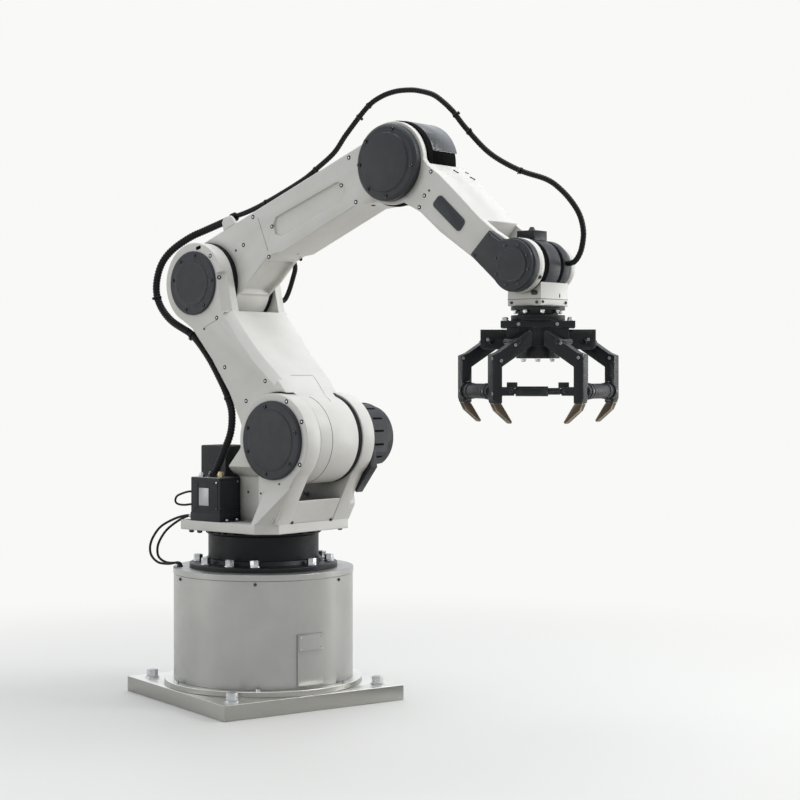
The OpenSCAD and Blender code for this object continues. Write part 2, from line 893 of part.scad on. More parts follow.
module wrist_seals() {
    color("#141516")
        difference() {
            union() {
                rod_y(j5, wrist_drum_r - 3, -near_ear_in + run_gap, -55);
                rod_y(j5, wrist_drum_r - 1, wrist_drum_far, wrist_ring_far);
            }
            rod_y(j5, bore_d / 2, -near_ear_in - 1, wrist_ring_far + 1);
        }
}

module wrist_motor() {
    color("#33363b")
        difference() {
            translate([j5_x - 24 - wrist_motor_side / 2, -wrist_motor_side / 2, j5_z])
                cube([wrist_motor_side, wrist_motor_side, wrist_motor_top - j5_z]);
            rod_y(j5, wrist_drum_r + seat, -wrist_motor_side, wrist_motor_side);
        }
}

module tool_flange() {
    color("#26282b")
        translate([j5_x, 0, wrist_bottom])
            rotate_extrude()
                polygon([[0, -flange_t - neck_h], [neck_r, -flange_t - neck_h], [neck_r, -flange_t],
                    [flange_r, -flange_t], [flange_r, -run_gap], [0, -run_gap]]);
}

module adapter_disc() {
    color("#5d6166")
        translate([j5_x, 0, plate_z + top_plate_t])
            cylinder(h = adapter_t, r = adapter_r);
}

// Places pieces drawn in the gripper's own frame
module in_tool() {
    translate([j5_x, 0, 0])
        rotate([0, 0, tool_turn])
            children();
}

// Places pieces drawn in a jaw's plane: X outward, Z up, Y along the pivot axis; side is -1 or 1
module in_jaw(side) {
    in_tool()
        translate([side * pivot_x, -pivot_y, pivot_z])
            mirror([side < 0 ? 1 : 0, 0, 0])
                rotate([0, 0, -splay])
                    children();
}

// Outline of a cross bar with a lug at each end, drawn in X and Z
module bar_shape(width, top, low, lug_w, lug_z) {
    polygon([[-width / 2, top], [-width / 2, lug_z + 8], [-width / 2 + 8, lug_z], [-width / 2 + lug_w, lug_z],
        [-width / 2 + lug_w + 22, low], [width / 2 - lug_w - 22, low], [width / 2 - lug_w, lug_z],
        [width / 2 - 8, lug_z], [width / 2, lug_z + 8], [width / 2, top]]);
}

module gripper_frame() {
    color("#2b2e32")
        difference() {
            in_tool() {
                translate([-top_plate_w / 2, -top_plate_d / 2, plate_z])
                    cube([top_plate_w, top_plate_d, top_plate_t]);
                slab(long_bar_y, long_bar_y + bar_t)
                    bar_shape(long_bar_w, long_bar_top, long_bar_top - bar_h, 96, pivot_z - bar_drop);
                translate([-60, 40, long_bar_top - bar_h + 2])
                    cube([120, long_bar_y - 38, plate_z - long_bar_top + bar_h + 1]);
                slab(near_bar_y, near_bar_y + bar_t)
                    bar_shape(near_bar_w, plate_z + 1, pivot_z - bar_drop + 8, 60, pivot_z - bar_drop - 8);
                translate([0, 0, block_z + block_h - 6])
                    cylinder(h = plate_z - block_z - block_h + 7, d = column_d);
                translate([0, 0, block_z + block_h - 1])
                    cylinder(h = 10, d = block_d - 22);
                translate([0, 0, block_z])
                    cylinder(h = block_h, d = block_d);
            }
            for (s = [-1, 1])
                in_jaw(s)
                    rod_y([0, 0], pin_r, -finger_t, finger_gap + finger_t);
        }
}

module gripper_pins() {
    color("#8a8c90")
        for (s = [-1, 1])
            in_jaw(s) {
                rod_y([0, 0], pin_r, -finger_t / 2 - 4, 80);
                rod_y([0, 0], pin_r, finger_gap - 70, finger_gap + finger_t / 2 + 4);
            }
}

// Side outline of a finger from its pivot, X outward and Z up
module finger_shape() {
    polygon([[-50, 28], [-43, 36], [finger_out - 8, -34], [finger_out + finger_w / 2, -44],
        [finger_out + finger_w / 2, -182], [finger_out + 12, -198], [finger_out - finger_w / 2, -198],
        [finger_out - finger_w / 2, -82], [-50, -14]]);
}

module jaw(side) {
    in_jaw(side)
        difference() {
            union() {
                slab(-finger_t / 2, finger_t / 2)
                    finger_shape();
                slab(finger_gap - finger_t / 2, finger_gap + finger_t / 2)
                    finger_shape();
                rod_y([finger_out, tie_z - pivot_z], 24, finger_t / 2 - 1, finger_gap - finger_t / 2 + 1);
                for (y = [-finger_t / 2, finger_t / 2 - lug_t])
                    slab(y, y + lug_t)
                        translate([tie_out - lug_r, tie_z - pivot_z - lug_r])
                            square([finger_out - finger_w / 2 - tie_out + lug_r + 1, 2 * lug_r]);
            }
            rod_y([0, 0], pin_r + run_gap, -finger_t, finger_gap + finger_t);
            rod_y([tie_out, tie_z - pivot_z], tie_pin_r + run_gap, -finger_t, finger_t);
        }
}

module claws(side) {
    in_jaw(side)
        for (y = [0, finger_gap])
            slab(y - 14, y + 14)
                polygon([[finger_out - 16, -198], [finger_out + 13, -198], [finger_out + 2, -222],
                    [finger_out - 44, claw_z - pivot_z + 3], [finger_out - 50, claw_z - pivot_z],
                    [finger_out - 54, claw_z - pivot_z + 6]]);
}

module jaw_left() {
    color("#3c3f44")
        jaw(-1);
}

module claws_left() {
    color("#7a6a58")
        claws(-1);
}

module jaw_right() {
    color("#3c3f44")
        jaw(1);
}

module claws_right() {
    color("#7a6a58")
        claws(1);
}

// An eye, its pin and its neck, turned with the jaw; side is -1 or 1
module tie_eye(side) {
    in_jaw(side) {
        rod_y([tie_out, tie_z - pivot_z], tie_pin_r, -finger_t / 2 - 3, finger_t / 2 + 3);
        slab(-eye_t / 2, eye_t / 2) {
            translate([tie_out, tie_z - pivot_z])
                circle(r = lug_r);
            translate([tie_out - tie_neck - 4, tie_z - pivot_z - 9])
                square([tie_neck + 4, 18]);
        }
    }
}

// A round bar from the end of a tie's neck towards the other jaw
module tie_bar(side, d, length, start) {
    in_jaw(side)
        translate([tie_out - tie_neck, 0, tie_z - pivot_z])
            rotate([0, 0, splay])
                rotate([0, -90, 0])
                    translate([0, 0, start])
                        cylinder(h = length - start, d = d);
}

module tie_tube() {
    color("#2b2e32")
        difference() {
            union() {
                tie_eye(-1);
                tie_bar(-1, tie_d, tie_tube_l, 0);
            }
            tie_bar(-1, tie_rod_d + 2 * run_gap, tie_tube_l + 1, 9);
        }
}

module tie_rod() {
    color("#8a8c90") {
        tie_eye(1);
        tie_bar(1, tie_rod_d, tie_rod_l, 0);
    }
}

// Places between two route points on a smooth curve through the route
function curve(p, i, t) =
    let(a = p[max(i - 1, 0)], b = p[i], c = p[i + 1], d = p[min(i + 2, len(p) - 1)])
    0.5 * (2 * b + (c - a) * t + (2 * a - 5 * b + 4 * c - d) * t * t + (3 * b - a - 3 * c + d) * t * t * t);

// A smooth route through the given points, four places to each stretch
function route(p) = concat([for (i = [0:len(p) - 2], t = [0:0.25:0.75]) curve(p, i, t)], [p[len(p) - 1]]);

// A hose swept along a route as rings of twelve corners; the route never runs along ref
module hose(points, d, ref = [0, 1, 0]) {
    path = route(points);
    n = len(path);
    m = 12;
    last = len(points) - 1;
    tangents = [for (i = [0:n - 1]) let(v = i == 0 ? points[1] - points[0]
        : i == n - 1 ? points[last] - points[last - 1] : path[i + 1] - path[i - 1]) v / norm(v)];
    rings = [for (i = [0:n - 1])
        let(t = tangents[i], a = cross(t, ref) / norm(cross(t, ref)), b = cross(a, t))
        for (k = [0:m - 1]) path[i] + d / 2 * (cos(360 / m * k) * a + sin(360 / m * k) * b)];
    low = [for (i = [0:n - 2], k = [0:m - 1]) [m * i + k, m * i + (k + 1) % m, m * (i + 1) + (k + 1) % m]];
    high = [for (i = [0:n - 2], k = [0:m - 1]) [m * i + k, m * (i + 1) + (k + 1) % m, m * (i + 1) + k]];
    starts = [for (k = [1:m - 2]) [0, k + 1, k]];
    ends = [for (k = [1:m - 2]) [m * (n - 1), m * (n - 1) + k, m * (n - 1) + k + 1]];
    polyhedron(points = rings, faces = concat(low, high, starts, ends));
}

// Route points given from a joint, along X and Z
function from(joint, p) = [for (q = p) [joint[0] + q[0], q[1], joint[1] + q[2]]];

// From the junction box up to the clip on the lower arm
module hose_low() {
    top = table_top + box_h + seat;
    color("#1c1c1c")
        hose(concat([[box_front - 81, -187, top], [box_front - 81, -187, top + 12]],
            from(j2, [[-292, -185, -104], [-264, -182, -49], [-238, -172, 24], [-245, -160, 96], [-274, -152, 154]])),
            hose_d);
}

// Along the rear of the lower arm
module hose_arm() {
    color("#1c1c1c")
        hose(from(j3, [[165, -152, -414], [132, -150, -364], [69, -148, -281], [0, -145, -213], [-45, -142, -183]]),
            hose_d);
}

// Round the elbow and in behind its bracket on the upper arm
module hose_elbow() {
    color("#1c1c1c")
        hose(from(j3, [[-47, -142, -182], [-151, -140, -133], [-215, -138, -71], [-236, -135, -4],
            [-217, -130, 73], [-176, -114, 129], [-102, -90, 177], [-32, -68, 205], [72, -57, 236]]), hose_d);
}

// Along the top of the upper arm
module hose_upper() {
    color("#1c1c1c")
        hose(from(j3, [[76, -57, 237], [109, -55, 248], [172, -52, 263], [238, -50, 283],
            [340, -50, 319], [444, -50, 360], [494, -45, 388]]), thin_hose_d);
}

// Free arch over the upper elbow
module hose_arch() {
    color("#1c1c1c")
        hose(from(j4, [[-417, -45, 8], [-329, -38, 66], [-275, -30, 130], [-190, -20, 215], [-135, -14, 247],
            [-72, -8, 262], [-9, -2, 262], [37, 2, 254], [91, 6, 236], [136, 10, 204], [172, 14, 171]]),
            thin_hose_d);
}

// From the arch down to the wrist's grey disc
module hose_wrist() {
    color("#1c1c1c")
        hose(concat(from(j5, [[-359, 14, 536], [-311, 22, 477], [-226, 38, 391], [-120, 55, 329], [-14, 66, 291],
            [39, 70, 256], [85, 70, 211], [117, 70, 164], [132, 68, 111], [130, 62, 61], [123, 52, 30],
            [108, 46, 12]]), [[j5_x + wrist_drum_r + seat, 45, j5_z + 9]]), thin_hose_d);
}

// Short hose behind the far ear of the lower arm
module hose_short() {
    color("#1c1c1c")
        hose(concat([[j3_x + 202, up_half + seat + 0.2, j3_z + 106]], from(j3, [[202, 100, 106], [204, 140, 101],
            [195, 175, 68], [167, 190, 21], [142, 193, -29], [130, 184, -56]]),
            [[j3_x + 130, low_half + seat + 0.2, j3_z - 56]]), thin_hose_d, [1, 0, 0]);
}

// Two cables from the junction box, in a loop behind the plate, down to the pedestal's lid
module cables() {
    side = box_front - box_x - 14 - seat;
    xa = cable_a * cos(-130.6);
    ya = cable_a * sin(-130.6);
    xb = cable_b * cos(-132.7);
    yb = cable_b * sin(-132.7);
    color("#1c1c1c") {
        hose([[side, -222, table_top + 15], [side - 35, -222, table_top + 14], [side - 95, -223, table_top - 1],
            [side - 167, -224, table_z + 2], [side - 207, -226, table_z - 38], [side - 223, -228, table_z - 75],
            [side - 213, -231, lid_top + 32], [side - 173, -234, lid_top + 9], [xa - 59, ya + 1, lid_top + 7],
            [xa - 15, ya, lid_top + 14], [xa, ya, lid_top + 10], [xa, ya, lid_top + seat]], cable_d);
        hose([[side, -202, table_top + 15], [side - 35, -202, table_top + 13], [side - 91, -203, table_top - 7],
            [side - 151, -206, table_z - 8], [side - 185, -210, table_z - 46], [side - 199, -213, table_z - 80],
            [side - 189, -217, lid_top + 28], [side - 151, -220, lid_top + 11], [xb - 46, yb + 1, lid_top + 10],
            [xb - 16, yb, lid_top + 14], [xb, yb, lid_top + 10], [xb, yb, lid_top + seat]], cable_d);
    }
}

// Small loop of cable on the side of the junction box
module box_loop() {
    side = box_front - box_x - 10 - seat;
    color("#1c1c1c")
        hose([[side, -215, 757], [side - 29, -215, 757], [side - 64, -215, 749], [side - 95, -215, 737],
            [side - 106, -213, 719], [side - 95, -211, 708], [side - 62, -210, 706], [side - 27, -209, 710],
            [side, -208, 711]], cable_d - 1);
}

base_plate();
foot_flange();
pedestal_shell();
pedestal_lid();
access_cover();
bearing_ring();
slew_drum();
turntable();
shoulder_cap();
shoulder_motor();
motor_bracket();
shoulder_shaft();
junction_box();
drive_box();
lower_arm();
shoulder_seal();
elbow_caps();
elbow_shaft();
upper_arm();
elbow_seals();
hose_bracket();
top_seal();
top_motor_cover();
motor_band();
forearm();
top_cap();
top_shaft();
side_cover();
wrist_cover();
wrist_shaft();
wrist_housing();
wrist_drum();
wrist_seals();
wrist_motor();
tool_flange();
adapter_disc();
gripper_frame();
gripper_pins();
jaw_left();
claws_left();
jaw_right();
claws_right();
tie_tube();
tie_rod();
hose_low();
hose_arm();
hose_elbow();
hose_upper();
hose_arch();
hose_wrist();
hose_short();
cables();
box_loop();
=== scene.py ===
"""Looks of an industrial robot arm with a claw gripper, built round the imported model."""

import json
import math

import bmesh
import bpy
from mathutils import Matrix, Vector

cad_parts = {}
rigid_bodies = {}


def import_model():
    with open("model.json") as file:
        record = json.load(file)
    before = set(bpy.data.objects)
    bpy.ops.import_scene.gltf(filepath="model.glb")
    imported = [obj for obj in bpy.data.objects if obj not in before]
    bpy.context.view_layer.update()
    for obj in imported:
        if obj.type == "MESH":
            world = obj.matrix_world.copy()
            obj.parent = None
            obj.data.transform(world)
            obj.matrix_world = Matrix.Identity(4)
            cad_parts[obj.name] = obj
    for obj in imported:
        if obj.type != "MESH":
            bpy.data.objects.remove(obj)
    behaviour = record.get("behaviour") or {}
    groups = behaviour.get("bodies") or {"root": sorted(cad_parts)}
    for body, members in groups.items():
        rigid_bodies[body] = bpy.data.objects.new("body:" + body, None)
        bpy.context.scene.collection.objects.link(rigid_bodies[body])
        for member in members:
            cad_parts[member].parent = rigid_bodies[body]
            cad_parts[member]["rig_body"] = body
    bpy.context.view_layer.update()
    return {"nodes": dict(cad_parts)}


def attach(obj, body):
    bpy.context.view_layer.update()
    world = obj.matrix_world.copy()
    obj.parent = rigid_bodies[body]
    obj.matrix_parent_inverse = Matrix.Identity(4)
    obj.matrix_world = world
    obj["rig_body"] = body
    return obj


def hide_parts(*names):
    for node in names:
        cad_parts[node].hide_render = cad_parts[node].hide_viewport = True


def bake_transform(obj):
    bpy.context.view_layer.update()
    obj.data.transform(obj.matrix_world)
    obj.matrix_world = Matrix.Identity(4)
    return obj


bl_info = {
    "name": "Industrial Robot Arm",
    "version": (1, 0, 0),
    "blender": (4, 5, 0),
    "location": "3D View > Sidebar > Robot Arm",
    "description": "Builds the finished pieces, finishes and stage of a jointed robot arm",
    "category": "Object",
}

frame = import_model()

# the pitch axes, as X and Z in millimetres
SHOULDER = (240.0, 954.0)
ELBOW = (-200.0, 1524.0)
TOP_JOINT = (713.0, 1906.0)
WRIST = (1245.0, 1539.0)

# the tool's and the floor plate's turn about Z, and how far each jaw splays from its pin
TOOL_TURN = math.radians(35.5)
PLATE_TURN = math.radians(-15.4)
JAW_SPLAY = math.radians(24)

# the round bar of a jaw, as x and z in the jaw's own axes, in millimetres
BAR_X, BAR_Z = 70, -160

# how far the shoulder motor's flat sides and foot lie from its axis, in metres
MOTOR_FLAT, MOTOR_FOOT = 0.115, 0.099

# which way a face looks: to the photograph's side, away from it, up or down
NEAR, FAR, UP, DOWN = (0, -1, 0), (0, 1, 0), (0, 0, 1), (0, 0, -1)

# in degrees, the bend from which an edge of a casting is rounded, and of small fittings is shaded sharp
ROUND_FROM, SHARP_FROM = 28.0, 35.0

# in metres: how deep a fitting's foot reaches into its seat, and what counts as the same point
SEAT, SAME = 0.002, 0.00001


def linear(code):
    """An sRGB hex colour as linear red, green, blue and alpha."""
    parts = [int(code[i : i + 2], 16) / 255 for i in (1, 3, 5)]
    return tuple(c / 12.92 if c <= 0.04045 else ((c + 0.055) / 1.055) ** 2.4 for c in parts) + (1.0,)


# ---------------------------------------------------------------- sizes and colours


class ArmSizes(bpy.types.PropertyGroup):
    """Sizes that change how the arm is finished."""

    casting_edge: bpy.props.FloatProperty(
        name="Casting edge", description="Radius along the edges of the castings", default=0.004, unit="LENGTH"
    )
    hose_rib: bpy.props.FloatProperty(
        name="Hose rib", description="Distance from one rib of the hoses to the next", default=0.011, unit="LENGTH"
    )
    seam_width: bpy.props.FloatProperty(
        name="Seam width", description="Width of the sealed seams between castings", default=0.0022, unit="LENGTH"
    )
    ring_bolt: bpy.props.FloatProperty(
        name="Ring bolt", description="Width across flats of the bearing ring's bolts", default=0.030, unit="LENGTH"
    )
    anchor_bolt: bpy.props.FloatProperty(
        name="Anchor bolt", description="Width across flats of the floor anchors' nuts", default=0.036, unit="LENGTH"
    )


class ArmColours(bpy.types.PropertyGroup):
    """Colours of the arm's finishes."""

    casting: bpy.props.FloatVectorProperty(
        name="Castings", description="Enamel on the cast arms", default=linear("#ECECE8"), size=4, subtype="COLOR"
    )
    slate: bpy.props.FloatVectorProperty(
        name="Covers", description="Paint on the joint covers", default=linear("#34383D"), size=4, subtype="COLOR"
    )
    motor: bpy.props.FloatVectorProperty(
        name="Motor cover", description="Paint on the motor cover", default=linear("#5A5D61"), size=4, subtype="COLOR"
    )
    pedestal: bpy.props.FloatVectorProperty(
        name="Pedestal", description="Paint on the round pedestal", default=linear("#B4B4B1"), size=4, subtype="COLOR"
    )


# ---------------------------------------------------------------- materials


def add(tree, kind, *facts):
    """Adds one node. A fact is a setting or an input with its value: a number, a hex colour or a linked output."""
    node = tree.nodes.new("ShaderNode" + kind)
    for name, value in facts:
        if isinstance(value, bpy.types.NodeSocket):
            tree.links.new(value, node.inputs[name])
        elif isinstance(name, str) and hasattr(node, name):
            setattr(node, name, value)
        else:
            node.inputs[name].default_value = linear(value) if isinstance(value, str) else value
    return node


def begin(name):
    """An empty material with its shader and the object's coordinates."""
    material = bpy.data.materials.new(name)
    material.use_nodes = True
    tree = material.node_tree
    tree.nodes.clear()
    shader = add(tree, "BsdfPrincipled")
    add(tree, "OutputMaterial", ("Surface", shader.outputs["BSDF"]))
    return material, tree, shader, add(tree, "TexCoord").outputs["Object"]


def complete(tree, shader, colour, coats, roughness, height, strength, depth_mm):
    """Links a finish's colour, roughness and relief to its shader.

    Each coat is a share and a colour, laid over what comes before: none of it where the share is 0, all where it is 1.
    """
    for share, coat in coats:
        colour = add(tree, "Mix", ("data_type", "RGBA"), (0, share), (6, colour), (7, coat)).outputs[2]
    bump = add(tree, "Bump", ("Strength", strength), ("Distance", depth_mm / 1000), ("Height", height))
    for name, output in (("Base Color", colour), ("Roughness", roughness), ("Normal", bump.outputs["Normal"])):
        tree.links.new(output, shader.inputs[name])


def per_metre(size_mm):
    """The noise scale whose features are about this many millimetres wide."""
    return 1000.0 / size_mm


def blotches(tree, place, size_mm, low=0.0, high=1.0, detail=3.0):
    """Soft noise of one real size, mapped to run from low to high."""
    noise = add(
        tree, "TexNoise", ("Scale", per_metre(size_mm)), ("Detail", detail), ("Roughness", 0.55), ("Vector", place)
    )
    spread = add(
        tree,
        "MapRange",
        ("From Min", 0.3),
        ("From Max", 0.7),
        ("To Min", low),
        ("To Max", high),
        ("Value", noise.outputs["Fac"]),
    )
    return spread.outputs["Result"]


def edge_wear_and_highlight(tree, reach_mm):
    """1 along outer and inner edges and 0 on open faces, from how the surface turns within reach: the mask of worn
    metal and of a painted highlight on the edges.
    """
    rounded = add(tree, "Bevel", ("samples", 4), ("Radius", reach_mm / 1000)).outputs["Normal"]
    flat = add(tree, "NewGeometry").outputs["True Normal"]
    same = add(tree, "VectorMath", ("operation", "DOT_PRODUCT"), (0, rounded), (1, flat)).outputs["Value"]
    return add(tree, "MapRange", ("From Min", 0.995), ("From Max", 0.90), ("Value", same)).outputs["Result"]


def closed_in(tree, reach_mm, samples, tight, open_at):
    """1 where other faces stand all round within reach and 0 in the open: the mask of painted shade in corners and
    hollows.
    """
    shade = add(tree, "AmbientOcclusion", ("samples", samples), ("Distance", reach_mm / 1000)).outputs["AO"]
    spread = add(
        tree,
        "MapRange",
        ("From Min", tight),
        ("From Max", open_at),
        ("To Min", 1.0),
        ("To Max", 0.0),
        ("Value", shade),
    )
    return spread.outputs["Result"]


def paint(
    name, base, second, roughness, peel_mm, peel_depth_mm,
    dust_and_corner_shade=None, hollow_shade=None, bare=None, coat=0.0, metallic=0.0, specular=0.5,
):
    """Sprayed paint: slow colour drift, smudged gloss, orange peel, dust and painted shade in the corners, painted
    shade in deep hollows, bare metal with a painted highlight on edges.
    """
    material, tree, shader, place = begin(name)
    shader.inputs["Metallic"].default_value = metallic
    coats = [(blotches(tree, place, 160), second)]
    # painted shade, partly dust: the colour darkens where other faces stand close, where shade falls
    if dust_and_corner_shade:
        coats.append((closed_in(tree, 26, 6, 0.25, 0.9), dust_and_corner_shade))
    # painted shade: deep hollows, such as the turntable's well, darkened nearly to black
    if hollow_shade:
        coats.append((closed_in(tree, 220, 8, 0.16, 0.46), hollow_shade))
    # partly wear, partly painted highlight: paler bare metal along the edges, broken up by noise
    if bare:
        worn = blotches(tree, place, 9, detail=6.0)
        scuffs_and_highlight = add(tree, "Math", ("operation", "MULTIPLY"), (0, edge_wear_and_highlight(tree, 2.2)), (1, worn)).outputs["Value"]
        coats.append((scuffs_and_highlight, bare))
        tree.links.new(scuffs_and_highlight, shader.inputs["Metallic"])
    smudge = blotches(tree, place, 34, roughness - 0.05, roughness + 0.06, 5.0)
    peel = add(tree, "TexNoise", ("Scale", per_metre(peel_mm)), ("Detail", 2.0), ("Vector", place)).outputs["Fac"]
    complete(tree, shader, base, coats, smudge, peel, 0.6, peel_depth_mm)
    shader.inputs["IOR"].default_value = 1.5
    shader.inputs["Specular IOR Level"].default_value = specular
    shader.inputs["Coat Weight"].default_value = coat
    shader.inputs["Coat Roughness"].default_value = 0.2
    return material


def metal(name, base, second, roughness, line_mm, stretch, relief_mm, bare=None, sides=None):
    """Bare metal: tool or grinding lines drawn out along one axis, in gloss, tone and relief."""
    material, tree, shader, place = begin(name)
    drawn = add(tree, "Mapping", ("Scale", stretch), ("Vector", place)).outputs["Vector"]
    lines = add(
        tree, "TexNoise", ("Scale", per_metre(line_mm)), ("Detail", 4.0), ("Roughness", 0.6), ("Vector", drawn)
    ).outputs["Fac"]
    stains = blotches(tree, place, 70, 0.0, 0.6, 5.0)
    tone = add(tree, "Math", ("operation", "MULTIPLY"), (0, lines), (1, stains)).outputs["Value"]
    coats = [(tone, second)]
    # partly wear, partly painted highlight: a paler colour along the edges
    if bare:
        coats.append((edge_wear_and_highlight(tree, 3.0), bare))
    if sides:
        up = add(tree, "SeparateXYZ", (0, add(tree, "NewGeometry").outputs["Normal"])).outputs["Z"]
        steep = add(tree, "MapRange", ("From Min", 0.8), ("From Max", 0.3), ("Value", up)).outputs["Result"]
        coats.append((steep, sides))
    gloss = add(
        tree,
        "MapRange",
        ("From Min", 0.3),
        ("From Max", 0.7),
        ("To Min", roughness - 0.07),
        ("To Max", roughness + 0.1),
        ("Value", lines),
    )
    complete(tree, shader, base, coats, gloss.outputs["Result"], lines, 0.5, relief_mm)
    shader.inputs["Metallic"].default_value = 1.0
    return material


def rubber(name, base, second, roughness, grain_mm, depth_mm, specular=0.5):
    """Moulded rubber or nylon: dark, faintly dusty, with a fine grain that softens its highlight."""
    material, tree, shader, place = begin(name)
    dust = blotches(tree, place, 45, detail=5.0)
    gloss = blotches(tree, place, 12, roughness - 0.06, roughness + 0.1, 4.0)
    grain = add(tree, "TexNoise", ("Scale", per_metre(grain_mm)), ("Detail", 2.0), ("Vector", place)).outputs["Fac"]
    complete(tree, shader, base, [(dust, second)], gloss, grain, 0.5, depth_mm)
    shader.inputs["IOR"].default_value = 1.52
    shader.inputs["Specular IOR Level"].default_value = specular
    return material


def make_materials(colours):
    """Every finish of the arm, by its short name.

    Dust and fine texture take some of the shine off the dark finishes, so their specular level lies under 0.5.
    """
    enamel = tuple(colours.casting), "#E2E1DC", 0.42, 3.0, 0.05
    turned_lines = (1.0, 1.0, 0.4)
    return {
        # Two-part enamel sprayed on cast iron: warm off-white, half gloss, a faint orange peel of 3 mm, greyed in its
        # corners by dust and painted shade.
        "casting": paint("enamelled cast iron", *enamel, dust_and_corner_shade="#B2B0A8", coat=0.12),
        # The same enamel on the turntable, with painted shade, near black, deep in its well.
        "table": paint("enamelled turntable", *enamel, dust_and_corner_shade="#B2B0A8", hollow_shade="#2C2C2A", coat=0.12),
        # Powder coat baked on pressed covers: dark slate, satin, a fine 1.4 mm grain, pale worn metal and a painted
        # highlight on its edges.
        "slate": paint(
            "powder-coated cover", tuple(colours.slate), "#2C3034", 0.46, 1.4, 0.07,
            dust_and_corner_shade="#22252A", bare="#74787C", specular=0.4,
        ),
        # Powder coat on welded steel plate: near black, satin, rubbed to grey steel along handled edges, which also
        # carry a painted highlight.
        "black": paint(
            "powder-coated steel plate", "#1F2225", "#16181A", 0.40, 1.6, 0.06,
            dust_and_corner_shade="#141517", bare="#85888C", specular=0.3,
        ),
        # The same powder coat, faintly bluer, on the machined jaws, rubbed bright and given a painted highlight along
        # the edges.
        "jaw": paint(
            "powder-coated jaw", "#1C2023", "#15181A", 0.42, 1.4, 0.06, dust_and_corner_shade="#15171A", bare="#8E9296", specular=0.3
        ),
        # Powder coat on the slewing drum: the darkest black of the machine, duller than the plates.
        "drum": paint(
            "powder-coated drum", "#17191C", "#111315", 0.46, 1.6, 0.06, dust_and_corner_shade="#0D0E0F", bare="#6A6D71", specular=0.25
        ),
        # Enamel under clear coat on a spun aluminium motor cover: neutral dark grey with a tight highlight.
        "motor": paint(
            "enamelled motor cover", tuple(colours.motor), "#4A4D51", 0.26, 2.2, 0.03, dust_and_corner_shade="#2E3137", coat=0.4
        ),
        # Metallic enamel, aluminium flake in a grey binder, on a rolled steel drum: broad soft bands of reflection, and
        # painted shade in its corners, under the lid's edge and round the bearing ring.
        "pedestal": paint(
            "metallic enamel on rolled steel", tuple(colours.pedestal), "#ACACA9", 0.34, 40.0, 0.05,
            dust_and_corner_shade="#7C7C79", metallic=0.75,
        ),
        # Moulded glass-filled nylon: black, dull, pebbled at 1.2 mm.
        "box": paint(
            "moulded nylon", "#25282C", "#1D1F23", 0.52, 1.2, 0.10, dust_and_corner_shade="#121315", bare="#4A4D52", specular=0.35
        ),
        # Surface-ground mild steel plate with sawn, duller edges: its lines, 1.5 mm apart, are wider than real to show.
        "ground": metal(
            "ground mild steel", "#F6F5F0", "#DAD8D2", 0.32, 1.5, (0.06, 1.0, 1.0), 0.012, sides="#ABAAA5"
        ),
        # Turned and zinc-plated steel: bright, faintly blue, fine turning marks.
        "zinc": metal("zinc-plated steel", "#D2D3D4", "#A2A5A8", 0.24, 1.0, (1.0, 1.0, 0.3), 0.01),
        # Phosphated bolts in the gripper: dull grey, so they read as rings and not as sparks.
        "dull": metal("phosphated steel", "#9A9C9F", "#6C6E71", 0.46, 1.0, turned_lines, 0.01),
        # Blackened steel screws: oil-dark, paler on their edges, worn where the key has rubbed them and partly a
        # painted highlight.
        "oxide": metal("blackened steel", "#2A2B2D", "#161718", 0.34, 1.0, turned_lines, 0.01, bare="#6C6E72"),
        # Forged tool steel claws: brown-black scale on the faces, warm bright steel along the edges, worn where they
        # grip and partly a painted highlight.
        "claw": metal("worn tool steel", "#574F46", "#2F2A26", 0.40, 2.5, (1.0, 1.0, 0.15), 0.06, bare="#E0CDAE"),
        # Turned brass gland: pale, a little dull from handling.
        "brass": metal("turned brass", "#CDBD96", "#A89673", 0.27, 0.8, (1.0, 1.0, 0.3), 0.01),
        # Brushed aluminium plate without print: a soft grey sheen along one way.
        "plate": metal("brushed aluminium", "#A2A5A6", "#888B8D", 0.38, 0.9, (1.0, 1.0, 0.05), 0.01),
        # Nitrile rubber seals: black with a broad dim highlight.
        "rubber": rubber("nitrile rubber", "#0E0F10", "#17181A", 0.55, 1.0, 0.05, 0.18),
        # Ribbed nylon conduit: black, each rib with a thin line of light.
        "hose": rubber("ribbed nylon conduit", "#0D0E0F", "#161718", 0.42, 0.8, 0.03, 0.18),
        # Nylon cable ties: a shade paler than the hose they hold.
        "strap": rubber("nylon strap", "#1A1B1C", "#242526", 0.45, 0.8, 0.02, 0.25),
        # Joint sealant in the seams: a dull warm grey line.
        "seam": rubber("joint sealant", "#6E6D68", "#58574F", 0.6, 1.5, 0.03),
        # Holes, slots and the rings in shadow: black without a highlight.
        "void": rubber("shadowed hole", "#0B0B0C", "#121213", 0.8, 1.0, 0.02, 0.05),
    }


FINISHES = {}


def finish_of(name):
    """A finish by its short name; all of them are made at the first call."""
    if not FINISHES:
        FINISHES.update(make_materials(bpy.context.scene.arm_colours))
    return FINISHES[name]


# ---------------------------------------------------------------- shaping


def metres(points):
    """Points in millimetres as vectors in metres."""
    return [Vector(p) / 1000.0 for p in points]


def keep(name, bm, finish, body=None):
    """Turns a bmesh into a smooth-shaded object with its finish, on its body when one is given."""
    mesh = bpy.data.meshes.new(name)
    bm.to_mesh(mesh)
    bm.free()
    mesh.shade_smooth()
    mesh.materials.append(finish_of(finish))
    piece = bpy.data.objects.new(name, mesh)
    bpy.context.scene.collection.objects.link(piece)
    if body:
        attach(piece, body)
    return piece


